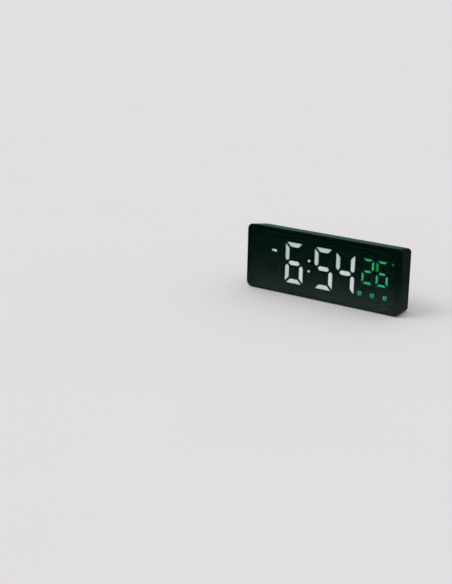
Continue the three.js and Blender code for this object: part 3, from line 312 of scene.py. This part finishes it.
def link(tree, source, socket):
    """Connects a node's output to a socket, or sets the socket where the source is a plain value."""
    if isinstance(source, bpy.types.NodeSocket):
        tree.links.new(source, socket)
    else:
        socket.default_value = source


def coordinates(tree, kind="Object"):
    return add_node(tree, "ShaderNodeTexCoord").outputs[kind]


def one_axis(tree, place, axis):
    split = add_node(tree, "ShaderNodeSeparateXYZ")
    link(tree, place, split.inputs[0])
    return split.outputs[axis]


def noise(tree, grain, detail=3.0, stretch=(1.0, 1.0, 1.0)):
    """A noise from 0 to 1 whose features are about one grain across, in metres."""
    mapping = add_node(tree, "ShaderNodeMapping")
    mapping.inputs["Scale"].default_value = stretch
    link(tree, coordinates(tree), mapping.inputs["Vector"])
    node = add_node(tree, "ShaderNodeTexNoise")
    node.inputs["Scale"].default_value = 1.0 / grain
    node.inputs["Detail"].default_value = detail
    link(tree, mapping.outputs["Vector"], node.inputs["Vector"])
    return node.outputs["Fac"]


def remap(tree, value, from_low, from_high, to_low, to_high):
    node = add_node(tree, "ShaderNodeMapRange")
    link(tree, value, node.inputs["Value"])
    node.inputs["From Min"].default_value = from_low
    node.inputs["From Max"].default_value = from_high
    node.inputs["To Min"].default_value = to_low
    node.inputs["To Max"].default_value = to_high
    return node.outputs["Result"]


def fade(tree, value, start, full):
    """0 where the value is at its start and 1 where it is full."""
    return remap(tree, value, start, full, 0.0, 1.0)


def vary(tree, value, low, high):
    """Stretches the range that a noise fills to run from low to high."""
    return remap(tree, value, NOISE_LOW, NOISE_HIGH, low, high)


def blend(tree, factor, first, second, kind="MIX"):
    """A colour between two, each a plain colour or another node's output."""
    node = add_node(tree, "ShaderNodeMix", data_type="RGBA", blend_type=kind)
    link(tree, factor, node.inputs["Factor"])
    link(tree, first, node.inputs[MIX_FIRST])
    link(tree, second, node.inputs[MIX_SECOND])
    return node.outputs[MIX_RESULT]


def calculate(tree, operation, first, second):
    node = add_node(tree, "ShaderNodeMath", operation=operation)
    link(tree, first, node.inputs[0])
    link(tree, second, node.inputs[1])
    return node.outputs["Value"]


def times(tree, first, second):
    return calculate(tree, "MULTIPLY", first, second)


def shade(colour, factor):
    return tuple(min(1.0, c * factor) for c in colour[:3]) + (1.0,)


def edge_wear(tree):
    """1 on worn outer edges and 0 on flat ground: how far a rounded normal leaves the true one."""
    rounded = add_node(tree, "ShaderNodeBevel", samples=4)
    rounded.inputs["Radius"].default_value = WEAR_REACH
    true = add_node(tree, "ShaderNodeNewGeometry")
    dot = add_node(tree, "ShaderNodeVectorMath", operation="DOT_PRODUCT")
    link(tree, rounded.outputs["Normal"], dot.inputs[0])
    link(tree, true.outputs["Normal"], dot.inputs[1])
    return fade(tree, dot.outputs["Value"], WEAR_START, WEAR_FULL)


def add_bump(tree, shader, height, depth):
    bump = add_node(tree, "ShaderNodeBump")
    bump.inputs["Strength"].default_value = 1.0
    bump.inputs["Distance"].default_value = depth
    link(tree, height, bump.inputs["Height"])
    link(tree, bump.outputs["Normal"], shader.inputs["Normal"])


# Materials

def surface(name, colour, roughness, *, mottle=0.10, patch=9 * MM, grain=0.25 * MM, relief=0.004 * MM,
            specular=0.5, metallic=0.0, sheen=0.0, worn=None, fades=()):
    """A moulded, painted or plated surface: mottled colour, uneven gloss, fine grain and worn edges."""
    material, tree, shader = new_material(name)
    tint = blend(tree, noise(tree, patch), shade(colour, 1.0 - mottle), shade(colour, 1.0 + mottle))
    # Fades: on the case, a painted reflection of the floor towards the desk, and the case's own colour
    # at the back
    for axis, start, full, other in fades:
        height = one_axis(tree, coordinates(tree), axis)
        tint = blend(tree, fade(tree, height, start, full), tint, other)
    if worn:
        rubbed = times(tree, edge_wear(tree), noise(tree, WEAR_PATCH, detail=5.0))
        tint = blend(tree, rubbed, tint, worn)
    link(tree, tint, shader.inputs["Base Color"])
    uneven = noise(tree, patch / 3, detail=5.0)
    gloss = vary(tree, uneven, roughness - GLOSS_SPREAD, roughness + GLOSS_SPREAD)
    link(tree, gloss, shader.inputs["Roughness"])
    add_bump(tree, shader, noise(tree, grain, detail=2.0), relief)
    shader.inputs["Metallic"].default_value = metallic
    shader.inputs["Specular IOR Level"].default_value = specular
    shader.inputs["Sheen Weight"].default_value = sheen
    shader.inputs["Sheen Roughness"].default_value = SHEEN_ROUGHNESS
    shader.inputs["Sheen Tint"].default_value = SHEEN_TINT
    return material


def pane_material():
    """Smoked, polished acrylic: nearly black in itself, and open enough for the lit bars behind it."""
    material, tree, shader = new_material("smoked_pane")
    # Painted reflection of the floor: the pane's colour grows lighter, unevenly, towards its bottom edge
    depth = fade(tree, one_axis(tree, coordinates(tree, "Generated"), "Z"), 1.0, 0.0)
    uneven = vary(tree, noise(tree, PANE_REFLECTION_PATCH, detail=1.0), 1.0 - PANE_REFLECTION_DRIFT, 1.0 + PANE_REFLECTION_DRIFT)
    painted_reflection = times(tree, calculate(tree, "POWER", depth, PANE_REFLECTION_POWER), uneven)
    link(tree, blend(tree, painted_reflection, PANE_TOP, PANE_PAINTED_FLOOR_REFLECTION), shader.inputs["Base Color"])
    touched = noise(tree, SMEAR_PATCH, detail=6.0, stretch=SMEAR_STRETCH)
    smear = remap(tree, touched, SMEAR_LOW, SMEAR_HIGH, PANE_SMOOTH, PANE_SMEARED)
    link(tree, smear, shader.inputs["Roughness"])
    shader.inputs["Specular IOR Level"].default_value = PANE_SPECULAR
    shader.inputs["Specular Tint"].default_value = PANE_GLINT
    shader.inputs["Alpha"].default_value = PANE_ALPHA
    return material


def glow_material(name):
    """A lit pad: brightest in its middle, each bar with the strength and colour of its own lamp."""
    colour, other_colour, strength = GLOWS[name]
    material, tree, shader = new_material(name)
    body = blend(tree, noise(tree, PAD_PATCH), PAD_DARK, PAD_PALE)
    link(tree, body, shader.inputs["Base Color"])
    shader.inputs["Roughness"].default_value = PAD_ROUGHNESS
    tint = add_node(tree, "ShaderNodeAttribute", attribute_name="tint").outputs["Fac"]
    link(tree, blend(tree, tint, colour, other_colour), shader.inputs["Emission Color"])
    glow = add_node(tree, "ShaderNodeAttribute", attribute_name="glow").outputs["Fac"]
    dimmest, brightest = (strength * (1.0 + side * GLOW_DRIFT) for side in (-1, 1))
    uneven = vary(tree, noise(tree, GLOW_PATCH, detail=1.0), dimmest, brightest)
    link(tree, times(tree, glow, uneven), shader.inputs["Emission Strength"])
    return material


def cell_material():
    """Jacket of an AAA cell: bare ends, a dark sleeve and a coppery band near the end at -X."""
    material, tree, shader = new_material("cell_jacket")
    ramp = add_node(tree, "ShaderNodeValToRGB")
    ramp.color_ramp.interpolation = "CONSTANT"
    bands = ramp.color_ramp.elements
    bands[0].color = CELL_BARE
    bands[1].position = TIP_END
    bands[1].color = CELL_COPPER
    bands.new(COPPER_END).color = CELL_SLEEVE
    bands.new(SLEEVE_END).color = CELL_BARE
    link(tree, one_axis(tree, coordinates(tree, "Generated"), "X"), ramp.inputs["Fac"])
    speckle = blend(tree, noise(tree, SPECKLE), SPECKLE_DARK, SPECKLE_PALE)
    tint = blend(tree, 1.0, ramp.outputs["Color"], speckle, "MULTIPLY")
    link(tree, tint, shader.inputs["Base Color"])
    gloss = vary(tree, noise(tree, CELL_PATCH, detail=4.0), *CELL_GLOSS)
    link(tree, gloss, shader.inputs["Roughness"])
    add_bump(tree, shader, noise(tree, CELL_GRAIN), CELL_RELIEF)
    shader.inputs["Metallic"].default_value = CELL_METAL
    return material


def board_material():
    """Green solder mask over copper: the tracks show as a paler, raised maze."""
    material, tree, shader = new_material("circuit_board")
    tracks = add_node(tree, "ShaderNodeTexBrick", offset=TRACK_SHIFT)
    tracks.inputs["Scale"].default_value = 1.0 / TRACK_CELL
    tracks.inputs["Mortar Size"].default_value = TRACK_LINE
    turn = add_node(tree, "ShaderNodeMapping")
    turn.inputs["Rotation"].default_value = (math.pi / 2, 0.0, 0.0)
    link(tree, coordinates(tree), turn.inputs["Vector"])
    link(tree, turn.outputs["Vector"], tracks.inputs["Vector"])
    tint = blend(tree, tracks.outputs["Fac"], BOARD_GREEN, TRACK_GREEN)
    link(tree, tint, shader.inputs["Base Color"])
    link(tree, vary(tree, noise(tree, BOARD_PATCH), *BOARD_GLOSS), shader.inputs["Roughness"])
    add_bump(tree, shader, tracks.outputs["Fac"], TRACK_RELIEF)
    return material


def floor_material():
    material, tree, shader = new_material("floor")
    tint = blend(tree, noise(tree, FLOOR_PATCH), shade(FLOOR_COLOUR, FLOOR_SHADE), FLOOR_COLOUR)
    link(tree, tint, shader.inputs["Base Color"])
    shader.inputs["Roughness"].default_value = FLOOR_ROUGHNESS
    shader.inputs["Specular IOR Level"].default_value = FLOOR_SPECULAR
    return material


MATERIALS = {name: surface(name, **look) for name, look in LOOKS.items()}
MATERIALS.update({name: glow_material(name) for name in GLOWS})
MATERIALS["dark_pane"] = pane_material()
MATERIALS["cell_jacket"] = cell_material()
MATERIALS["circuit_board"] = board_material()


# Carried-over solids: their slot's material, and edges rounded as moulded or turned ones are

def edge_round(name):
    return next((size * MM for start, size in EDGE_ROUND.items() if name.startswith(start)), 0.0)


def finish_edges(thing, size):
    weld = thing.modifiers.new("weld", "WELD")
    weld.merge_threshold = WELD_REACH
    if size:
        bevel = thing.modifiers.new("rounding", "BEVEL")
        bevel.width = size
        bevel.segments = ROUND_STEPS
        bevel.limit_method = "ANGLE"
        bevel.angle_limit = SOFT_ANGLE
    split = thing.modifiers.new("crisp_edges", "EDGE_SPLIT")
    split.split_angle = SOFT_ANGLE
    even = thing.modifiers.new("even_normals", "WEIGHTED_NORMAL")
    even.keep_sharp = True
    for polygon in thing.data.polygons:
        polygon.use_smooth = True


def dress_nodes():
    for part in frame["record"]["subparts"]:
        node = NODES[part["node"]]
        node.data.materials.clear()
        node.data.materials.append(MATERIALS[part["material_slot"]])
        finish_edges(node, edge_round(part["node"]))


# Outlines in the face plane, as lists of (x, z)

def outline_of(*pairs):
    return [Vector(pair) for pair in pairs]


def area(outline):
    following = outline[1:] + outline[:1]
    return sum(a.x * b.y - b.x * a.y for a, b in zip(outline, following)) / 2


def span(outline):
    low = Vector((min(p.x for p in outline), min(p.y for p in outline)))
    high = Vector((max(p.x for p in outline), max(p.y for p in outline)))
    return low, high


def middle(outline):
    low, high = span(outline)
    return (low + high) / 2


def longest(outline):
    low, high = span(outline)
    return max(high - low)


def corners_of(outline):
    """Each corner of a closed outline with the ones before and after it."""
    return zip([outline[-1]] + outline[:-1], outline, outline[1:] + [outline[0]])


def shrunk(outline, amount):
    """The outline with every edge moved inwards."""
    moved = []
    turn = 1 if area(outline) > 0 else -1
    for before, corner, after in corners_of(outline):
        arriving = (corner - before).normalized()
        leaving = (after - corner).normalized()
        first = Vector((-arriving.y, arriving.x)) * turn
        second = Vector((-leaving.y, leaving.x)) * turn
        moved.append(corner + (first + second) * amount / (1 + first.dot(second)))
    return moved


def softened(outline, radius):
    """The outline with every corner replaced by a short curve."""
    if not radius:
        return outline
    soft = []
    for before, corner, after in corners_of(outline):
        back = before - corner
        ahead = after - corner
        start = corner + back.normalized() * min(radius, back.length / 3)
        end = corner + ahead.normalized() * min(radius, ahead.length / 3)
        for share in (0.0, 0.5, 1.0):
            soft.append(start * (1 - share) ** 2 + corner * 2 * share * (1 - share) + end * share ** 2)
    return soft


def circle(centre, radius, sides=28, start=0.0, turn=2 * math.pi):
    angles = [start + turn * i / sides for i in range(sides)]
    return [centre + radius * Vector((math.cos(a), math.sin(a))) for a in angles]


def outlines_at(node, depth):
    """Outlines of a solid's flat faces at one depth."""
    mesh = node.data
    edges = set()
    for polygon in mesh.polygons:
        corners = [mesh.vertices[i].co for i in polygon.vertices]
        if all(abs(corner.y - depth) < SAME_DEPTH for corner in corners):
            keys = [(round(corner.x, PLACE_DIGITS), round(corner.z, PLACE_DIGITS)) for corner in corners]
            edges.update(zip(keys, keys[1:] + keys[:1]))
    follow = {a: b for a, b in edges if (b, a) not in edges}
    outlines = []
    while follow:
        start = min(follow)
        corner = follow.pop(start)
        outline = [start]
        while corner != start:
            outline.append(corner)
            corner = follow.pop(corner)
        outlines.append([Vector(point) for point in outline])
    return outlines


# Mesh building: everything is a closed plate between two depths

def layer(mesh, name):
    return mesh.verts.layers.float.get(name) or mesh.verts.layers.float.new(name)


def add_row(mesh, outline, depth, level=1.0, tint=0.0):
    glow, hue = layer(mesh, "glow"), layer(mesh, "tint")
    row = [mesh.verts.new((p.x, depth, p.y)) for p in outline]
    for vert in row:
        vert[glow] = level
        vert[hue] = tint
    return row


def add_walls(mesh, front, rear):
    for i, corner in enumerate(front):
        j = (i + 1) % len(front)
        mesh.faces.new((corner, front[j], rear[j], rear[i]))


def add_plate(mesh, outline, front, rear, level=1.0):
    faces = [add_row(mesh, outline, depth, level) for depth in (front, rear)]
    add_walls(mesh, *faces)
    for face in faces:
        mesh.faces.new(face)


def add_lamp(mesh, outline, front, corner, rim, rim_share, level, tint=0.0):
    """A pad that glows in its middle and more weakly over a narrow, slightly lower rim."""
    edge = softened(outline, corner)
    inner = add_row(mesh, softened(shrunk(outline, rim), corner), front, level, tint)
    outer = add_row(mesh, edge, front + PAD_CROWN, rim_share * level, tint)
    back = add_row(mesh, edge, front + PAD_T, rim_share * level, tint)
    add_walls(mesh, inner, outer)
    add_walls(mesh, outer, back)
    mesh.faces.new(inner)
    mesh.faces.new(back)


def add_band(mesh, left, right, front, rear, closed):
    """A plate between two side lines: a ring where it is closed, a stroke where it isn't."""
    rows = [add_row(mesh, *row) for row in ((left, front), (right, front), (right, rear), (left, rear))]
    count = len(left)
    for i in range(count if closed else count - 1):
        j = (i + 1) % count
        for one, other in zip(rows, rows[1:] + rows[:1]):
            mesh.faces.new((one[i], one[j], other[j], other[i]))
    if not closed:
        for i in (0, -1):
            mesh.faces.new([row[i] for row in rows])


def add_ring(mesh, centre, outer, inner, front, rear):
    add_band(mesh, circle(centre, outer), circle(centre, inner), front, rear, True)


def add_stroke(mesh, line, width, front, rear, closed=False):
    """A line of one width, drawn with mitred corners."""
    left, right = [], []
    for i, point in enumerate(line):
        before = line[i - 1] if i or closed else None
        after = line[(i + 1) % len(line)] if closed or i + 1 < len(line) else None
        leaving = (after - point).normalized() if after else (point - before).normalized()
        arriving = (point - before).normalized() if before else leaving
        across = Vector((-arriving.y - leaving.y, arriving.x + leaving.x))
        across *= width / across.length_squared
        left.append(point + across)
        right.append(point - across)
    add_band(mesh, left, right, front, rear, closed)


def piece_from(name, build, body, slot_name, material, *given):
    """A new piece that rides on a body, drawn by code that gets an empty mesh and what is given."""
    mesh = bmesh.new()
    build(mesh, *given)
    bmesh.ops.recalc_face_normals(mesh, faces=mesh.faces)
    data = bpy.data.meshes.new(name)
    mesh.to_mesh(data)
    mesh.free()
    data.materials.append(material)
    piece = bpy.data.objects.new(name, data)
    bpy.context.scene.collection.objects.link(piece)
    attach(piece, body)
    return piece


# Display: the pads of the light guide, redrawn from its solid, lit and unlit

def bar_letter(bar, low, high):
    """Which of the seven bars this one is, from its place in its digit."""
    place = middle(bar) - (low + high) / 2
    across = place.x / (high.x - low.x)
    up = place.y / (high.y - low.y)
    if abs(across) < MIDDLE_BAND:
        return "a" if up > MIDDLE_BAND else "d" if up < -MIDDLE_BAND else "g"
    if across < 0:
        return "f" if up > 0 else "e"
    return "b" if up > 0 else "c"


def split_lit(bars, shown, lights):
    """The bars, seven to a digit from left to right, as lit ones with their lights, and unlit ones."""
    lit, unlit = [], []
    for number, character in enumerate(shown):
        first = BARS_PER_DIGIT * number
        digit = bars[first:first + BARS_PER_DIGIT]
        low, high = span([point for bar in digit for point in bar])
        for bar in digit:
            letter = bar_letter(bar, low, high)
            if letter in DIGIT_BARS[character]:
                lit.append((bar, lights[letter]))
            else:
                unlit.append((bar, UNLIT))
    return lit, unlit


def add_alarm(mesh, disc, front):
    """Ring and feet of a small alarm clock; its bells are pads of their own."""
    centre = middle(disc)
    radius = longest(disc) / 2
    add_ring(mesh, centre, radius, ALARM_HOLE * radius, front, front + PAD_T)
    for side in (-1, 1):
        foot = [centre + Vector((side * x, z)) * radius for x, z in (ALARM_HEEL, ALARM_TOE)]
        add_stroke(mesh, foot, ALARM_FOOT_W * radius, front, front + PAD_T)


def sort_pads(node, front):
    """The pads of the light guide by what they show."""
    pads = sorted(outlines_at(node, front), key=lambda pad: middle(pad).x)
    bars = [pad for pad in pads if longest(pad) > LEAST_BAR]
    marks = [pad for pad in pads if longest(pad) <= LEAST_BAR]
    time_bars = BARS_PER_DIGIT * len(TIME_SHOWN)
    time_lit, time_unlit = split_lit(bars[:time_bars], TIME_SHOWN, WHITE_BARS)
    warm_lit, warm_unlit = split_lit(bars[time_bars:], TEMPERATURE_SHOWN, GREEN_BARS)
    first_lit = min(middle(bar).x for bar, light in time_lit)
    last_lit = max(middle(bar).x for bar, light in time_lit)
    floor_of_small = min(span(bar)[0].y for bar in bars[time_bars:])
    green_marks = [mark for mark in marks if middle(mark).x > last_lit]
    return {
        "time": time_lit,
        "temperature": warm_lit,
        "unlit": time_unlit + warm_unlit,
        "letters": [mark for mark in marks if middle(mark).x < first_lit],
        "colon": [mark for mark in marks if first_lit < middle(mark).x < last_lit],
        "degree": [mark for mark in green_marks if middle(mark).y > floor_of_small],
        "alarms": [mark for mark in green_marks if middle(mark).y < floor_of_small],
    }


def add_bars(mesh, bars, front, rim_share):
    for outline, light in bars:
        add_lamp(mesh, outline, front, PAD_CORNER, PAD_RIM, rim_share, *light)


def add_time_signs(mesh, letters, dots, front):
    for mark, level in zip(letters, LETTER_GLOWS):
        add_plate(mesh, mark, front, front + PAD_T, level)
    for dot, level in zip(sorted(dots, key=lambda dot: middle(dot).y), COLON_GLOWS):
        add_lamp(mesh, dot, front, 0.0, COLON_RIM, WHITE_RIM, level)


def add_alarm_signs(mesh, marks, front):
    for mark in marks:
        if longest(mark) > LEAST_DISC and len(mark) >= DISC_CORNERS:
            add_alarm(mesh, mark, front)
        else:
            add_plate(mesh, mark, front, front + PAD_T)


def add_degree_sign(mesh, marks, front):
    for mark in marks:
        radius = longest(mark) / 2
        add_ring(mesh, middle(mark), radius, DEGREE_HOLE * radius, front, front + PAD_T)


def add_guide_plate(mesh, guide, front, back):
    outline = max(outlines_at(guide, back), key=longest)
    add_plate(mesh, outline, front + PAD_T + PLATE_GAP, back)


def build_display():
    """Each group of pads with a light of its own, and the plate behind them."""
    guide = NODES["light_guide"]
    low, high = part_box("light_guide")
    front, back = low.y, high.y
    pads = sort_pads(guide, front)
    for name, material, build, *given in (
        ("time_bars_lit", "white_bars", add_bars, pads["time"], front, WHITE_RIM),
        ("time_signs_lit", "white_signs", add_time_signs, pads["letters"], pads["colon"], front),
        ("temperature_bars_lit", "green_bars", add_bars, pads["temperature"], front, GREEN_RIM),
        ("alarm_signs_lit", "green_signs", add_alarm_signs, pads["alarms"], front),
        ("degree_sign_lit", "dim_green", add_degree_sign, pads["degree"], front),
        ("bars_unlit", "diffuser", add_bars, pads["unlit"], front, WHITE_RIM),
        ("light_guide_plate", "diffuser", add_guide_plate, guide, front, back),
    ):
        piece = piece_from(name, build, "housing", "diffuser", MATERIALS[material], *given)
        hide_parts("light_guide")


def build_mask():
    """The mask film a hair behind the pane, so that the two never share a surface."""
    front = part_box("segment_mask")[0].y

    def film(mesh):
        mesh.from_mesh(NODES["segment_mask"].data)
        bmesh.ops.remove_doubles(mesh, verts=mesh.verts, dist=WELD_REACH)
        for vert in mesh.verts:
            if vert.co.y < front + MASK_RECESS:
                vert.co.y += MASK_RECESS

    piece = piece_from("mask_film", film, "housing", "mask_film", MATERIALS["mask_film"])
    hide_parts("segment_mask")


# Printed signs on the back, in units of half their height, as someone behind the clock sees them

CENTRE = Vector((0.0, 0.0))
SIGNS = {
    "clock": (
        ("loop", circle(CENTRE, 0.9)),
        ("line", outline_of((0.0, 0.55), (0.0, 0.0), (0.42, -0.12))),
    ),
    "up": (("fill", outline_of((-0.85, -0.55), (0.85, -0.55), (0.0, 0.8))),),
    "down": (("fill", outline_of((-0.85, 0.55), (0.0, -0.8), (0.85, 0.55))),),
    "bell": (
        ("loop", outline_of(
            (-0.85, -0.5), (-0.55, -0.15), (-0.5, 0.35), (-0.22, 0.75), (0.22, 0.75), (0.5, 0.35),
            (0.55, -0.15), (0.85, -0.5),
        )),
        ("fill", outline_of((-0.24, -0.72), (0.0, -1.0), (0.24, -0.72))),
    ),
    "sun": (
        ("loop", circle(CENTRE, 0.42, 16)),
        *(("line", [0.7 * ray, 1.05 * ray]) for ray in circle(CENTRE, 1.0, 8)),
    ),
    "charge": (
        ("fill", outline_of(
            (0.2, 1.0), (-0.55, -0.12), (-0.05, -0.12), (-0.2, -1.0), (0.55, 0.2), (0.05, 0.2),
        )),
    ),
    "voice": (
        ("loop", [
            *circle(Vector((0.0, 0.6)), 0.3, 7, 0.0, 7 / 6 * math.pi),
            *circle(Vector((0.0, 0.1)), 0.3, 7, math.pi, 7 / 6 * math.pi),
        ]),
        ("line", outline_of((-0.62, 0.1), (-0.52, -0.3), (0.0, -0.55), (0.52, -0.3), (0.62, 0.1))),
        ("line", outline_of((0.0, -0.66), (0.0, -1.0))),
    ),
    "O": (
        ("loop", outline_of(
            (-0.42, -0.5), (-0.2, -0.75), (0.2, -0.75), (0.42, -0.5),
            (0.42, 0.5), (0.2, 0.75), (-0.2, 0.75), (-0.42, 0.5),
        )),
    ),
    "N": (("line", outline_of((-0.42, -0.75), (-0.42, 0.75), (0.42, -0.75), (0.42, 0.75))),),
    "F": (
        ("line", outline_of((-0.36, -0.75), (-0.36, 0.75), (0.42, 0.75))),
        ("line", outline_of((-0.22, 0.05), (0.3, 0.05))),
    ),
}
KEY_SIGNS = ("clock", "up", "down", "bell", "sun")


def centre_of(node):
    low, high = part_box(node)
    return (low + high) / 2


def print_sign(mesh, sign, x, z, size=SYMBOL, width=STROKE):
    """One sign on the rear face, mirrored because it is read from behind."""
    front, rear = REAR_FACE - INK_SUNK, REAR_FACE + INK_T
    for kind, shape in SIGNS[sign]:
        placed = [Vector((x - p.x * size, z + p.y * size)) for p in shape]
        if kind == "fill":
            add_plate(mesh, placed, front, rear)
        else:
            add_stroke(mesh, placed, width, front, rear, kind == "loop")


def key_signs(mesh):
    keys = [centre_of(name) for name in NODES if name.startswith("button_cap")]
    for sign, key in zip(KEY_SIGNS, sorted(keys, key=lambda key: -key.x)):
        print_sign(mesh, sign, key.x, key.z - SYMBOL_DROP)


def socket_sign(mesh):
    place = centre_of("usb_socket_shell")
    print_sign(mesh, "charge", place.x, place.z - SYMBOL_DROP)


def switch_signs(mesh):
    place = centre_of("voice_switch_body")
    print_sign(mesh, "voice", place.x, place.z - SYMBOL_DROP)
    for word, side in (("OFF", -1), ("ON", 1)):
        start = place.x - side * WORD_REACH + (len(word) - 1) * LETTER_STEP / 2
        for i, letter in enumerate(word):
            print_sign(mesh, letter, start - i * LETTER_STEP, place.z, LETTER, LETTER_STROKE)


def build_printing():
    for name, build in (
        ("key_signs", key_signs), ("socket_sign", socket_sign), ("voice_switch_signs", switch_signs),
    ):
        piece_from(name, build, "housing", "case_plastic", MATERIALS["ink"])


def build_door_grip():
    """Raised grip ribs under the thumb notch, and an arrow that shows which way the door opens."""
    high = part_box("battery_door")[1]
    front, rear = high.y - INK_SUNK, high.y + RIB_PROUD
    reach = RIB_W / 2

    def grip(mesh):
        for i in range(RIB_COUNT):
            z = high.z - RIBS_BELOW_TOP - i * RIB_PITCH
            rib = outline_of((-reach, z), (reach, z), (reach, z + RIB_H), (-reach, z + RIB_H))
            add_plate(mesh, softened(rib, RIB_H / 2), front, rear)

    def arrow(mesh):
        z = high.z - ARROW_BELOW_TOP
        outline = outline_of((-ARROW_HALF_W, z), (ARROW_HALF_W, z), (0.0, z - ARROW_L))
        add_plate(mesh, outline, front, rear)

    for name, build in (("door_grip", grip), ("door_arrow", arrow)):
        piece = piece_from(name, build, "battery_door", "case_plastic", MATERIALS["case_plastic"])
        finish_edges(piece, GRIP_ROUND)


# Stage, lamp and camera

def build_stage():
    mesh = bmesh.new()
    mesh.faces.new(mesh.verts.new((p.x, p.y, 0.0)) for p in circle(CENTRE, FLOOR_R, FLOOR_SIDES))
    data = bpy.data.meshes.new("floor")
    mesh.to_mesh(data)
    mesh.free()
    data.materials.append(floor_material())
    floor = bpy.data.objects.new("floor", data)
    bpy.context.scene.collection.objects.link(floor)


def build_lamp():
    sun = bpy.data.lights.new("key", "SUN")
    sun.angle = math.radians(KEY_WIDTH)
    sun.energy = KEY_STRENGTH
    holder = bpy.data.objects.new("key", sun)
    holder.rotation_mode = "QUATERNION"
    holder.rotation_quaternion = (-Vector(KEY_FROM)).to_track_quat("-Z", "Y")
    holder.location = KEY_FROM
    bpy.context.scene.collection.objects.link(holder)


def build_world():
    world = bpy.data.worlds.new("studio")
    world.use_nodes = True
    tree = world.node_tree
    height = one_axis(tree, coordinates(tree, "Generated"), "Z")
    rise = fade(tree, height, 0.0, ZENITH_RISE)
    link(tree, blend(tree, rise, HORIZON, ZENITH), tree.nodes["Background"].inputs["Color"])
    bpy.context.scene.world = world


def build_camera():
    heading = math.radians(CAMERA_HEADING)
    dip = math.radians(CAMERA_DIP)
    level = math.cos(dip)
    ahead = Vector((-math.sin(heading) * level, math.cos(heading) * level, -math.sin(dip)))
    data = bpy.data.cameras.new("camera")
    data.lens = CAMERA_LENS
    data.clip_start = CAMERA_NEAR
    camera = bpy.data.objects.new("camera", data)
    camera.rotation_mode = "QUATERNION"
    roll = Matrix.Rotation(math.radians(CAMERA_ROLL), 3, "Z").to_quaternion()
    camera.rotation_quaternion = ahead.to_track_quat("-Z", "Y") @ roll
    camera.location = CAMERA_PLACE
    bpy.context.scene.collection.objects.link(camera)
    bpy.context.scene.camera = camera
    bpy.context.scene.view_settings.view_transform = "Standard"


build_camera()
build_stage()
build_lamp()
build_world()
dress_nodes()
build_display()
build_mask()
build_printing()
build_door_grip()
